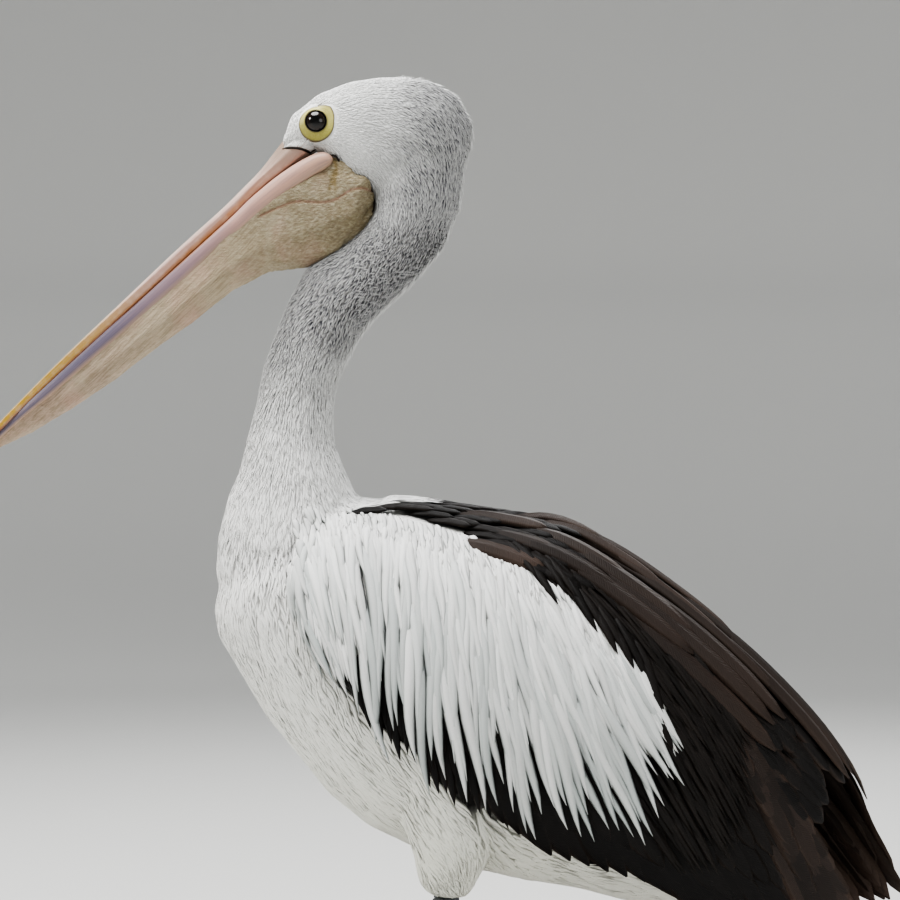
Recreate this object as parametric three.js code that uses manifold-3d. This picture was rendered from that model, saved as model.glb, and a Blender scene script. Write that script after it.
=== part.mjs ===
// An adult Australian pelican, life size, standing and looking straight ahead.
// Millimetres. +Z is up, the bird faces -X and its left side is -Y.
// The origin is at the middle of the stand's underside. Heights in this file are above the
// soles of the feet, and the whole bird is raised by the stand's thickness at the end.

import * as THREE from 'three';
import { mergeVertices } from 'three/addons/utils/BufferGeometryUtils.js';
import Module from 'manifold-3d';

const wasm = await Module();
wasm.setup();

// ---- Driving sizes ---------------------------------------------------------

const GAP = 0.4;              // space left between neighbouring pieces
const BODY_SIDES = 18;        // facets round the body
const LIMB_SIDES = 8;         // facets round a leg
const COVERT_DEPTH = 6;       // the white wing coverts lie this thick over the black feathers
const NECK_CUTS = [815, 715, 625, 556];   // heights where head, neck lengths and trunk part
const EYE = { x: -132.5, y: 23, z: 925, radius: 11 };
const LEG_Y = 62;             // each leg stands this far from the middle
const TOE_JOINT_X = -14;
const SOLE_JOIN_Z = 17;       // height where the shank meets the foot
const WEB_THICKNESS = 3;
const CLAW_LENGTH = 11;
const STAND = { length: 400, width: 270, thickness: 18, corner: 30, chamfer: 4 };

// The line through the middle of the body, from the breast to past the tail.
const BODY_LINE = [
  [-230, 467], [-198, 455], [-144, 435], [-68, 405], [15, 360], [95, 319],
  [175, 280], [253, 236], [319, 192], [375, 148], [423, 109], [465, 72],
];
// At each point of that line: how far up, how far down, half the width.
const PLUMAGE = [
  [60, 55, 46], [70, 64, 70], [124, 109, 104], [165, 151, 130], [195, 165, 142], [201, 155, 142],
  [187, 150, 130], [163, 150, 112], [139, 150, 92], [110, 140, 72], [90, 120, 52], [80, 100, 36],
];
const TRUNK = [
  [58, 55, 46], [72, 64, 68], [128, 109, 90], [150, 151, 104], [173, 165, 110], [178, 155, 108],
  [160, 130, 96], [114, 107, 76], [56, 61, 42],
];
// The open space between the folded wings, over the tail.
const HOLLOW_FROM = 6;
const HOLLOW = [
  [140, 200, 96], [142, 200, 98], [122, 200, 80], [94, 200, 61], [72, 200, 42], [60, 200, 26],
];

// ---- Lofted solids -----------------------------------------------------------

function signedPower(value, power) {
  return Math.sign(value) * Math.abs(value) ** power;
}

// Distances along the line where a section is set: closer together in a rounded end.
function sectionDistances(length, steps, startRound, endRound) {
  const capSteps = 3;
  const distances = [];
  if (startRound > 0) {
    for (let i = 0; i < capSteps; i += 1) {
      distances.push(startRound * (1 - Math.cos((i / capSteps) * Math.PI / 2)));
    }
  }
  const middle = length - startRound - endRound;
  for (let i = 0; i <= steps; i += 1) {
    distances.push(startRound + (middle * i) / steps);
  }
  if (endRound > 0) {
    for (let i = capSteps - 1; i >= 0; i -= 1) {
      distances.push(length - endRound * (1 - Math.cos((i / capSteps) * Math.PI / 2)));
    }
  }
  return distances;
}

function roundedBy(distance, round) {
  if (round === 0 || distance >= round) {
    return 1;
  }
  return Math.sqrt(Math.max(0, 1 - (1 - distance / round) ** 2));
}

// A closed solid along a line of [x, z, y] points. Each girth is [up, down, half width]
// at the same point, and power below 1 squares the section's shoulders.
function loft({ line, girth, steps, sides, startRound = 0, endRound = 0, power = 1, grow = 0 }) {
  const path = new THREE.CatmullRomCurve3(line.map(([x, z, y = 0]) => new THREE.Vector3(x, y, z)));
  const sizes = new THREE.CatmullRomCurve3(girth.map((size) => new THREE.Vector3(...size)));
  const length = path.getLength();
  const distances = sectionDistances(length, steps, startRound, endRound);
  const positions = [];
  const rings = [];
  for (const distance of distances) {
    const t = path.getUtoTmapping(Math.min(1, distance / length));
    const centre = path.getPoint(t);
    const size = sizes.getPoint(t);
    const tangent = path.getTangent(t).setY(0).normalize();
    const round = roundedBy(distance, startRound) * roundedBy(length - distance, endRound);
    const ring = [];
    if (round < 1e-3) {
      ring.push(positions.length / 3);
      const reach = distance < length / 2 ? -grow : grow;
      positions.push(centre.x + tangent.x * reach, centre.y, centre.z + tangent.z * reach);
    } else {
      for (let i = 0; i < sides; i += 1) {
        const angle = (2 * Math.PI * i) / sides;
        const rise = signedPower(Math.cos(angle), power);
        const out = signedPower(Math.sin(angle), power);
        const reach = (rise > 0 ? size.x : size.y) * round + grow;
        ring.push(positions.length / 3);
        positions.push(
          centre.x - tangent.z * rise * reach,
          centre.y + out * (size.z * round + grow),
          centre.z + tangent.x * rise * reach,
        );
      }
    }
    rings.push(ring);
  }
  return closedRings(positions, rings, sides);
}

// Joins rings of points into one closed skin. A ring of one point is a rounded tip.
function closedRings(positions, rings, sides) {
  const faces = [];
  for (let k = 0; k < rings.length - 1; k += 1) {
    const near = rings[k];
    const far = rings[k + 1];
    for (let i = 0; i < sides; i += 1) {
      const next = (i + 1) % sides;
      if (near.length > 1) {
        faces.push(near[i], far[far.length > 1 ? i : 0], near[next]);
      }
      if (far.length > 1) {
        faces.push(near[near.length > 1 ? next : 0], far[i], far[next]);
      }
    }
  }
  for (const [ring, turn] of [[rings[0], 0], [rings.at(-1), 1]]) {
    for (let i = 1; ring.length > 1 && i < sides - 1; i += 1) {
      faces.push(ring[0], ring[i + turn], ring[i + 1 - turn]);
    }
  }
  const geometry = new THREE.BufferGeometry();
  geometry.setAttribute('position', new THREE.Float32BufferAttribute(positions, 3));
  geometry.setIndex(faces);
  return geometry;
}

// An outline's shape. Its corners are set off by a hundredth of a millimetre, so that no three
// of them lie on one straight line, where the flat face would lose a corner.
function unevenShape(outline) {
  const offset = 0.01;
  return new THREE.Shape(outline.map(([u, v], i) => (
    new THREE.Vector2(u + offset * Math.sin(2.4 * i), v + offset * Math.cos(3.7 * i)))));
}

// A plate with an outline of [x, z] points, reaching from y = from to y = to.
function sidePlate(outline, from, to) {
  const shape = unevenShape(outline);
  const geometry = new THREE.ExtrudeGeometry(shape, { depth: to - from, bevelEnabled: false });
  return geometry.rotateX(Math.PI / 2).translate(0, to, 0);
}

// A plate lying flat with an outline of [x, y] points, from z = 0 up to the thickness.
function flatPlate(outline, thickness) {
  return new THREE.ExtrudeGeometry(unevenShape(outline), { depth: thickness, bevelEnabled: false });
}

// ---- Joining and cutting -----------------------------------------------------

function solid(geometry) {
  const plain = geometry.clone();
  plain.deleteAttribute('normal');
  plain.deleteAttribute('uv');
  const merged = mergeVertices(plain, 1e-4);
  return new wasm.Manifold(new wasm.Mesh({
    numProp: 3,
    vertProperties: new Float32Array(merged.attributes.position.array),
    triVerts: new Uint32Array(merged.index.array),
  }));
}

function joined(solids) {
  return solids.reduce((whole, next) => whole.add(next));
}

// The largest body of a cut solid, without the slivers that a cut can leave.
function mainBody(whole) {
  return whole.decompose().reduce((best, next) => (next.volume() > best.volume() ? next : best));
}

function above(whole, z) {
  return whole.trimByPlane([0, 0, 1], z);
}

function below(whole, z) {
  return whole.trimByPlane([0, 0, -1], -z);
}

function mirrored(whole) {
  return whole.mirror([0, 1, 0]);
}

// ---- Finishes ----------------------------------------------------------------

function finish(color, roughness) {
  return new THREE.MeshStandardMaterial({ color, roughness, metalness: 0 });
}

const FINISHES = {
  whiteFeather: finish(0xe9e9e4, 0.8),
  greyFeather: finish(0xc9c8c6, 0.85),
  blackFeather: finish(0x1e1a19, 0.6),
  bill: finish(0xdcab98, 0.45),
  nail: finish(0xd79a2b, 0.4),
  jaw: finish(0xa89aa6, 0.45),
  pouch: finish(0xd9c8a4, 0.55),
  eye: finish(0x0d0a08, 0.05),
  leg: finish(0x3c4146, 0.6),
  claw: finish(0x2b2926, 0.45),
  stand: finish(0x4a3527, 0.5),
};

const pelican = new THREE.Group();

function addPiece(name, whole, material) {
  const { vertProperties, triVerts } = whole.getMesh();
  const geometry = new THREE.BufferGeometry();
  geometry.setAttribute('position', new THREE.BufferAttribute(vertProperties, 3));
  geometry.setIndex(new THREE.BufferAttribute(triVerts, 1));
  geometry.computeVertexNormals();
  const piece = new THREE.Mesh(geometry, material);
  piece.name = name;
  pelican.add(piece);
  return piece;
}

function addPair(name, leftSolid, material) {
  addPiece(`${name}_left`, leftSolid, material);
  addPiece(`${name}_right`, mirrored(leftSolid), material);
}

// ---- Head, neck and trunk ------------------------------------------------------

function headSolid(grow) {
  return solid(loft({
    line: [[-166, 903], [-150, 918], [-130, 926], [-100, 925], [-65, 918], [-30, 908], [-5, 898],
      [16, 888]],
    girth: [[3, 4, 12], [17, 21, 27], [28, 32, 30], [45, 55, 35], [57, 67, 38], [62, 66, 38],
      [49, 50, 33], [26, 26, 22]],
    steps: 8, sides: 16, endRound: 12, power: 0.88, grow,
  }));
}

function neckSolid(grow) {
  return solid(loft({
    line: [[-36, 905], [-36, 850], [-52, 815], [-80, 785], [-111, 754], [-138, 705], [-152, 665],
      [-157, 630], [-160, 600], [-159, 570], [-160, 530], [-155, 490], [-145, 450]],
    girth: [[52, 50, 36], [47, 44, 36], [45, 34, 36], [43, 32, 35], [42, 43, 35], [38.5, 38, 34],
      [38.5, 38, 35], [40.5, 39, 38], [47, 46, 42], [57, 55, 48], [82, 70, 58], [84, 81, 66],
      [72, 86, 66]],
    steps: 14, sides: 16, startRound: 24, endRound: 40, grow,
  }));
}

function trunkSolid(grow) {
  return solid(loft({
    line: BODY_LINE.slice(0, TRUNK.length), girth: TRUNK,
    steps: 10, sides: BODY_SIDES, startRound: 38, endRound: 50, grow,
  }));
}

const flesh = joined([headSolid(0), neckSolid(0), trunkSolid(0)]);
const fleshKeepOut = joined([headSolid(GAP), neckSolid(GAP), trunkSolid(GAP)]);

function eyeBall(side, radius) {
  const ball = new THREE.SphereGeometry(radius, 12, 7).rotateX(Math.PI / 2);
  return solid(ball.translate(EYE.x, side * EYE.y, EYE.z));
}

const sockets = eyeBall(-1, EYE.radius + GAP).add(eyeBall(1, EYE.radius + GAP));

function addFlesh() {
  const names = ['neck_upper', 'neck_middle', 'neck_lower'];
  addPiece('head', above(flesh, NECK_CUTS[0]).subtract(sockets), FINISHES.whiteFeather);
  names.forEach((name, i) => {
    const length = above(below(flesh, NECK_CUTS[i] - GAP), NECK_CUTS[i + 1]);
    addPiece(name, length, i === 2 ? FINISHES.whiteFeather : FINISHES.greyFeather);
  });
  addPiece('trunk', below(flesh, NECK_CUTS.at(-1) - GAP), FINISHES.whiteFeather);
  addPair('eye', eyeBall(-1, EYE.radius), FINISHES.eye);
}

// ---- Bill and pouch ------------------------------------------------------------

const BILL_LINE = [
  [-449, 624], [-391, 683], [-318, 751], [-267, 798], [-225, 835], [-202, 857], [-183, 874],
  [-156, 897], [-128, 919],
];

function upperBillSolid(grow) {
  return solid(loft({
    line: BILL_LINE,
    girth: [[2.4, 2.4, 20], [2.4, 2.4, 20], [3.4, 3.4, 17], [4.1, 4.1, 15.5], [4.5, 4.5, 15.5],
      [4.8, 4.8, 16], [6.5, 6.5, 18], [12, 11.5, 22], [12, 11, 22]],
    steps: 9, sides: 12, power: 0.85, grow,
  }));
}

// The nail closes the bill's tip and hooks down past the lower jaw.
function nailSolid(grow) {
  return solid(loft({
    line: [[-486, 572], [-486, 586], [-475, 599], [-450, 623]],
    girth: [[1, 1.5, 2], [4, 4, 6], [3, 3.4, 12], [2.4, 2.4, 20]],
    steps: 4, sides: 12, startRound: 6, power: 0.85, grow,
  }));
}

// One branch of the lower jaw. Both branches meet under the nail.
function jawBranch(side, grow) {
  const spread = [0, 9, 15, 16, 14, 12.5, 12.5, 14, 16, 19, 21, 23].map((y) => side * y);
  const points = [[-474, 598], [-460, 609], [-425, 643], [-396, 669], [-340, 719], [-309, 745],
    [-270, 780], [-229, 818], [-209, 833], [-189, 850], [-145, 879], [-118, 886]];
  return solid(loft({
    line: points.map(([x, z], i) => [x, z, spread[i]]),
    girth: [[2, 2, 4], [2, 2, 4], [3.2, 3.2, 3.5], [4.6, 4.6, 3.5], [7, 7, 3.5], [7, 7, 3.5],
      [7.4, 7.4, 3.5], [7.2, 7.2, 4], [8.7, 8.7, 5], [10, 10, 6], [11, 11, 7], [8, 8, 6]],
    steps: 9, sides: 7, startRound: 3, endRound: 8, grow,
  }));
}

function pouchSolid() {
  return solid(loft({
    line: [[-470, 598], [-450, 618], [-410, 651], [-370, 685], [-320, 727], [-291, 753],
      [-254, 784], [-220, 817], [-184, 842], [-150, 864], [-116, 874], [-74, 864]],
    girth: [[1, 4, 5], [2, 17, 13], [2, 25, 17.5], [2, 33, 18], [3, 36, 16.5], [3, 41, 16],
      [3, 42, 16.5], [3, 51, 19], [3, 76, 24], [4, 84, 28], [8, 80, 30], [8, 60, 30]],
    steps: 10, sides: 12, startRound: 6, endRound: 12, power: 0.9,
  }));
}

function addBill() {
  const upperKeepOut = upperBillSolid(GAP);
  const jaw = jawBranch(-1, 0).add(jawBranch(1, 0));
  const jawKeepOut = jawBranch(-1, GAP).add(jawBranch(1, GAP));
  const aboveJaw = joined([upperKeepOut, nailSolid(GAP), fleshKeepOut]);
  addPiece('bill_upper', mainBody(upperBillSolid(0).subtract(fleshKeepOut)), FINISHES.bill);
  addPiece('bill_nail', mainBody(nailSolid(0).subtract(upperKeepOut)), FINISHES.nail);
  addPiece('bill_lower', mainBody(jaw.subtract(aboveJaw)), FINISHES.jaw);
  addPiece('pouch', mainBody(pouchSolid().subtract(aboveJaw).subtract(jawKeepOut)), FINISHES.pouch);
}

// ---- Tail --------------------------------------------------------------------------

const TAIL = {
  rootX: 262, rootZ: 186, length: 182, slope: 36, feathers: 10, spread: 30, width: 30, thickness: 2.2,
};

function tailFeather(i, grow) {
  const turn = (i / (TAIL.feathers - 1) - 0.5) * 2;
  const half = TAIL.width / 2 + grow;
  const length = TAIL.length - 26 * turn * turn + grow;
  const tipArc = [];
  const arcSteps = 3;
  for (let k = 0; k <= arcSteps; k += 1) {
    const angle = Math.PI * (k / arcSteps - 0.5);
    tipArc.push([length - half + half * Math.cos(angle), half * Math.sin(angle)]);
  }
  const outline = [[0, -half * 0.4], ...tipArc, [0, half * 0.4]];
  const blade = flatPlate(outline, TAIL.thickness + 2 * grow);
  blade.translate(0, 0, -Math.abs(turn) * 1.2 - grow);
  blade.rotateX(THREE.MathUtils.degToRad(9 * turn));
  blade.rotateZ(THREE.MathUtils.degToRad((TAIL.spread / 2) * turn));
  blade.rotateY(THREE.MathUtils.degToRad(TAIL.slope));
  return solid(blade.translate(TAIL.rootX, 0, TAIL.rootZ));
}

function tailSolid(grow) {
  return joined(Array.from({ length: TAIL.feathers }, (unused, i) => tailFeather(i, grow)));
}

function addTail() {
  addPiece('tail', mainBody(tailSolid(0).subtract(trunkSolid(GAP))), FINISHES.blackFeather);
}

// ---- Wings and back --------------------------------------------------------------

// The bend of the wing, from the shoulder round to the first feather tips.
const WING_FRONT = [[-68, 541], [-96, 544], [-120, 541], [-139, 534], [-152, 521], [-156, 494],
  [-153, 475], [-147, 452], [-139, 423], [-126, 400], [-110, 376], [-97, 366]];
// Where the white coverts end under the back feathers, from the shoulder rearwards.
const COVERT_TOP = [[-29, 532], [23, 518], [59, 503], [91, 479], [134, 442], [172, 407],
  [200, 368], [214, 326]];
// The pointed tips of the white coverts, from the front of the wing rearwards.
const COVERT_TIPS = [[-79, 350], [-49, 318], [-22, 296], [0, 282], [24, 272], [52, 256],
  [78, 244], [112, 240], [134, 240], [156, 237], [176, 246], [194, 236], [205, 262], [215, 292]];
// The upper edge of the whole folded wing, along the back feathers.
const WING_TOP = [[-29, 532], [23, 520], [59, 506], [106, 485], [145, 465], [184, 445],
  [222, 417], [251, 391]];
// The tips of the black feathers under the coverts.
const SMALL_TIPS = [[-68, 324], [-44, 306], [-20, 284], [19, 252], [57, 238]];
const ROUND_TIPS = [[97, 206], [138, 195], [190, 181], [228, 160]];
const LEFT_WING_END = [[292, 128], [352, 104], [410, 84], [424, 88], [426, 98], [412, 120],
  [388, 164], [362, 211], [338, 253], [325, 278], [292, 320], [271, 360]];
const RIGHT_WING_END = [[292, 128], [352, 104], [410, 84], [426, 88], [430, 104], [426, 139],
  [410, 205], [396, 252], [430, 214], [462, 176], [482, 154], [489, 158], [485, 170],
  [455, 208], [414, 270], [374, 320], [330, 352], [290, 374]];

// Where the long back feathers end over each wing.
const LEFT_BACK_END = [[271, 360], [292, 320], [322, 283], [366, 292], [377, 302], [384, 330]];
const RIGHT_BACK_END = [[290, 374], [330, 352], [366, 327], [384, 330]];

// Pointed feather tips, with a notch between each two that runs up along the feathers.
function tipsAndNotches(tips, notch) {
  const edge = [];
  tips.forEach(([x, z], i) => {
    edge.push([x, z]);
    if (i < tips.length - 1) {
      const [nextX, nextZ] = tips[i + 1];
      edge.push([(x + nextX) / 2 - notch * 0.3, (z + nextZ) / 2 + notch]);
    }
  });
  return edge;
}

// Broad feathers: each tip is an arc that bulges past the line to the next one.
function roundTips(tips, bulge) {
  const edge = [];
  const arcSteps = 4;
  for (let i = 0; i < tips.length - 1; i += 1) {
    const [x, z] = tips[i];
    const [nextX, nextZ] = tips[i + 1];
    for (let k = 0; k < arcSteps; k += 1) {
      const t = k / arcSteps;
      const drop = bulge * Math.sin(Math.PI * t);
      edge.push([x + (nextX - x) * t, z + (nextZ - z) * t - drop]);
    }
  }
  edge.push(tips.at(-1));
  return edge;
}

function plumageSolid(inset, grow) {
  const girth = PLUMAGE.map(([up, down, half]) => [up - inset, down, half - inset]);
  return solid(loft({
    line: BODY_LINE, girth, steps: 13, sides: BODY_SIDES, startRound: 38, grow,
  }));
}

function hollowSolid() {
  return solid(loft({
    line: BODY_LINE.slice(HOLLOW_FROM), girth: HOLLOW,
    steps: 5, sides: 12, startRound: 40,
  }));
}

const core = joined([
  fleshKeepOut, hollowSolid(), tailSolid(GAP), thighSolid(GAP), mirrored(thighSolid(GAP)),
]);
const MIDDLE_GAP = GAP / 2;
const FAR_OUT = 220;

function sideCut(outline, side) {
  const [from, to] = side < 0 ? [-FAR_OUT, -MIDDLE_GAP] : [MIDDLE_GAP, FAR_OUT];
  return solid(sidePlate(outline, from, to));
}

function addWing(side, wingEnd, backEnd) {
  const name = side < 0 ? 'left' : 'right';
  const covertOutline = [...tipsAndNotches(COVERT_TIPS, 26), ...COVERT_TOP.toReversed(), ...WING_FRONT];
  const lowerEdge = [...tipsAndNotches(SMALL_TIPS, 14), ...roundTips(ROUND_TIPS, 9)];
  const wingOutline = [...lowerEdge, ...wingEnd, ...WING_TOP.toReversed(), ...WING_FRONT];
  const outer = plumageSolid(0, 0);
  const inner = plumageSolid(COVERT_DEPTH, 0);
  const innerKeepOut = plumageSolid(COVERT_DEPTH, GAP);
  const coverts = outer.subtract(innerKeepOut).subtract(core).intersect(sideCut(covertOutline, side));
  const wing = inner.subtract(core).intersect(sideCut(wingOutline, side));
  addPiece(`wing_coverts_${name}`, mainBody(coverts), FINISHES.whiteFeather);
  addPiece(`wing_feathers_${name}`, mainBody(wing), FINISHES.blackFeather);
  const backOutline = [[-62, 540], ...WING_TOP, ...backEnd, [390, 700], [-62, 700]];
  const back = outer.subtract(core).intersect(sideCut(backOutline, side));
  const wingKeepOut = solid(sidePlate(wingOutline, -FAR_OUT, FAR_OUT));
  const backClear = back.subtract(wingKeepOut.translate([-GAP / 2, 0, GAP]));
  const covertKeepOut = solid(sidePlate(covertOutline, -FAR_OUT, FAR_OUT));
  addPiece(`back_feathers_${name}`,
    mainBody(backClear.subtract(covertKeepOut.translate([-GAP / 2, 0, GAP]))),
    FINISHES.blackFeather);
}

// ---- Legs and feet --------------------------------------------------------------------

function thighSolid(grow) {
  return solid(loft({
    line: [[10, 290, -50], [5, 240, -54], [-1, 200, -LEG_Y + 2], [-6, 165, -LEG_Y]],
    girth: [[62, 64, 54], [48, 56, 46], [35, 35, 29], [22, 20, 17]],
    steps: 5, sides: 14, endRound: 8, grow,
  }));
}

const SHANK_TOP_Z = 163.6;

function shankSolid() {
  const line = [[-6, SHANK_TOP_Z], [-5, 150], [-2, 134], [-3, 118], [-7, 80], [-11, 45],
    [TOE_JOINT_X, 12]];
  const girth = [[12, 12, 9], [13, 13, 9.5], [14, 13, 11], [9, 9, 7.5], [7, 7.5, 5.5], [7, 8, 6],
    [10, 10, 9]];
  const shank = solid(loft({
    line: line.map(([x, z]) => [x, z, -LEG_Y]), girth, steps: 9, sides: LIMB_SIDES,
  }));
  return above(shank, SOLE_JOIN_Z + GAP);
}

// Each toe: its length, the way it points (0 is straight ahead, positive is outwards).
const TOES = [
  { length: 104, turn: 20 }, { length: 110, turn: -2 }, { length: 80, turn: -26 },
  { length: 46, turn: -88 },
];

// Lays a piece that was made along -X from the origin at the toe's place on the left foot.
function onFoot(geometry, turn) {
  return geometry.rotateZ(THREE.MathUtils.degToRad(turn)).translate(TOE_JOINT_X, -LEG_Y, 0);
}

function toeSolid({ length, turn }) {
  const knuckles = Math.max(2, Math.round(length / 30));
  const steps = knuckles * 2;
  const line = [];
  const girth = [];
  for (let i = 0; i <= steps; i += 1) {
    const share = i / steps;
    const pad = i % 2 === 0 ? 1.15 : 0.9;
    const half = (3.8 + 3.2 * share) * pad;
    line.push([-length * (1 - share), 3 + 2.5 * share]);
    girth.push([half, half + 4, half]);
  }
  return above(solid(onFoot(loft({ line, girth, steps, sides: 6 }), turn)), 0);
}

function toeTip({ length, turn }, share) {
  const angle = THREE.MathUtils.degToRad(turn);
  const reach = -length * share;
  return new THREE.Vector2(reach * Math.cos(angle), reach * Math.sin(angle));
}

// The web runs from toe to toe, with each free edge drawn in.
function webSolid() {
  const outline = [[0, 0]];
  TOES.forEach((toe, i) => {
    const tip = toeTip(toe, 0.97);
    outline.push([tip.x, tip.y]);
    if (i < TOES.length - 1) {
      const next = toeTip(TOES[i + 1], 0.97);
      const drawnIn = i === 2 ? 0.72 : 0.88;
      const middle = tip.clone().add(next).multiplyScalar(0.5 * drawnIn);
      outline.push([middle.x, middle.y]);
    }
  });
  return solid(flatPlate(outline, WEB_THICKNESS).translate(TOE_JOINT_X, -LEG_Y, 0));
}

function footSolid() {
  const knuckle = loft({
    line: [[TOE_JOINT_X, SOLE_JOIN_Z, -LEG_Y], [TOE_JOINT_X, 8, -LEG_Y], [TOE_JOINT_X, 0, -LEG_Y]],
    girth: [[10, 10, 9], [12, 12, 11], [11, 11, 10]],
    steps: 3, sides: LIMB_SIDES,
  });
  return below(joined([solid(knuckle), webSolid(), ...TOES.map(toeSolid)]), SOLE_JOIN_Z);
}

function clawSolid({ length, turn }) {
  const claw = loft({
    line: [[-length - CLAW_LENGTH, 1.2], [-length - CLAW_LENGTH * 0.5, 4.6], [-length - GAP, 4.4]],
    girth: [[0.5, 0.5, 0.5], [2.2, 2.2, 1.8], [3, 3, 2.8]],
    steps: 3, sides: 5,
  });
  return solid(onFoot(claw, turn));
}

function addLegs() {
  addPair('thigh', mainBody(thighSolid(0).subtract(fleshKeepOut)), FINISHES.whiteFeather);
  addPair('shank', shankSolid().subtract(thighSolid(GAP)), FINISHES.leg);
  addPair('foot', footSolid(), FINISHES.leg);
  TOES.forEach((toe, i) => {
    addPair(`claw_${i + 1}`, clawSolid(toe), FINISHES.claw);
  });
}

// ---- Stand -----------------------------------------------------------------------------

// A flat base under the feet, with round corners and a chamfered top edge.
function standSolid() {
  const { length, width, thickness, corner, chamfer } = STAND;
  const outline = new THREE.Shape();
  const x = length / 2 - chamfer;
  const y = width / 2 - chamfer;
  const quarter = Math.PI / 2;
  outline.absarc(x - corner, y - corner, corner, 0, quarter);
  outline.absarc(corner - x, y - corner, corner, quarter, 2 * quarter);
  outline.absarc(corner - x, corner - y, corner, 2 * quarter, 3 * quarter);
  outline.absarc(x - corner, corner - y, corner, 3 * quarter, 4 * quarter);
  const plate = new THREE.ExtrudeGeometry(outline, {
    depth: thickness - chamfer, bevelThickness: chamfer, bevelSize: chamfer, bevelSegments: 1,
    curveSegments: 3,
  });
  return above(solid(plate.translate(0, 0, -thickness - GAP)), -thickness - GAP);
}

addFlesh();
addBill();
addWing(-1, LEFT_WING_END, LEFT_BACK_END);
addWing(1, RIGHT_WING_END, RIGHT_BACK_END);
addTail();
addLegs();
addPiece('stand_base', standSolid(), FINISHES.stand);
pelican.position.z = STAND.thickness + GAP;

export default pelican;
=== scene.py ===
import math
from contextlib import contextmanager

import bpy
import numpy as np
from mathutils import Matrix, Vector
from mathutils.bvhtree import BVHTree


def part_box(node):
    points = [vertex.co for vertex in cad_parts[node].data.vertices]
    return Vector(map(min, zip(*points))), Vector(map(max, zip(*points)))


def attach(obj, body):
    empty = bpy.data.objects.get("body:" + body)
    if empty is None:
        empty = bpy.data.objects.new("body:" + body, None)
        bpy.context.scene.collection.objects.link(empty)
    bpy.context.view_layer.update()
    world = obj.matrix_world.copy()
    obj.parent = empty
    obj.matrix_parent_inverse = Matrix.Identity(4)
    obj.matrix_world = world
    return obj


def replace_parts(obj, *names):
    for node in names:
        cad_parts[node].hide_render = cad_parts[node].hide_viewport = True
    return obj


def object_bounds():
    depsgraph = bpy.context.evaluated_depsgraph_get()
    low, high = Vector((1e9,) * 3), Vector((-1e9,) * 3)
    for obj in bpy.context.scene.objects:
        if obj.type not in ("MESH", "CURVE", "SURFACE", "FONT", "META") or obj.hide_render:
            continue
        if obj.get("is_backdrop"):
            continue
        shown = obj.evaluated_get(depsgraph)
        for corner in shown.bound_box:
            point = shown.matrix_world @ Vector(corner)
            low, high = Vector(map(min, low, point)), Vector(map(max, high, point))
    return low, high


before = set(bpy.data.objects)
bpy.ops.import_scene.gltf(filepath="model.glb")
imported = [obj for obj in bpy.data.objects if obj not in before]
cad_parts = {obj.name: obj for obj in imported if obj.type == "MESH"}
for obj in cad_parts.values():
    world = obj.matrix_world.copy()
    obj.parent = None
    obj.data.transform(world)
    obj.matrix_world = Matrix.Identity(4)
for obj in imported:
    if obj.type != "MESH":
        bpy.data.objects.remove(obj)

# A life-size Australian pelican on a stand. Metres, +Z up, the bird faces -X, its left is -Y.
# Places and sizes below are in millimetres, with heights above the soles of the feet, and
# spots() turns them into the frame's metres.

cad_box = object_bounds()
MM = 0.001
# Vertices closer than this are merged, in metres.
WELD = 1e-6
SOLE_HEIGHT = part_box("stand_base")[1].z + 0.4 * MM
SIDES = {"left": -1, "right": 1}
rng = np.random.default_rng(7)

FLESH = ["head", "neck_upper", "neck_middle", "neck_lower", "trunk", "thigh_left", "thigh_right"]
WINGS = [kind + "_" + side for kind in ("wing_coverts", "wing_feathers", "back_feathers")
         for side in SIDES]


# ---- Working with meshes ------------------------------------------------------------------


def spots(x, z, y=0.0):
    """Points given in millimetres above the soles, as rows of metres in the frame."""
    x, z, y = np.broadcast_arrays(np.asarray(x, float), z, y)
    return np.stack([x * MM, y * MM, z * MM + SOLE_HEIGHT], axis=-1)


def select_only(*pieces):
    """Selects these pieces alone and makes the first of them active."""
    bpy.ops.object.select_all(action="DESELECT")
    for piece in pieces:
        piece.select_set(True)
    bpy.context.view_layer.objects.active = pieces[0]


@contextmanager
def edit_mode(piece, action="SELECT"):
    """Edit mode on one piece, with all of its mesh selected or none of it."""
    select_only(piece)
    bpy.ops.object.mode_set(mode="EDIT")
    bpy.ops.mesh.select_all(action=action)
    yield
    bpy.ops.object.mode_set(mode="OBJECT")


def face_outward(piece):
    with edit_mode(piece):
        bpy.ops.mesh.normals_make_consistent(inside=False)


def add_object(name, data):
    piece = bpy.data.objects.new(name, data)
    bpy.context.collection.objects.link(piece)
    return piece


def primitive(name, add, **settings):
    """A new piece from one of the operators that add a primitive."""
    bpy.ops.object.select_all(action="DESELECT")
    add(**settings)
    piece = bpy.context.view_layer.objects.active
    piece.name = name
    return piece


def discard(piece):
    bpy.data.objects.remove(piece, do_unlink=True)


def apply_modifier(piece, kind, **settings):
    select_only(piece)
    modifier = piece.modifiers.new(kind.title(), kind)
    for key, value in settings.items():
        setattr(modifier, key, value)
    bpy.ops.object.modifier_apply(modifier=modifier.name)


def joined(name, pieces):
    select_only(*pieces)
    if len(pieces) > 1:
        bpy.ops.object.join()
    pieces[0].name = name
    return pieces[0]


def copy_nodes(name, nodes):
    """One object made of merged copies of CAD nodes."""
    copies = [add_object(name + "_copy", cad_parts[node].data.copy()) for node in nodes]
    piece = joined(name, copies)
    with edit_mode(piece):
        bpy.ops.mesh.remove_doubles(threshold=WELD)
    piece.data.materials.clear()
    return piece


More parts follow.
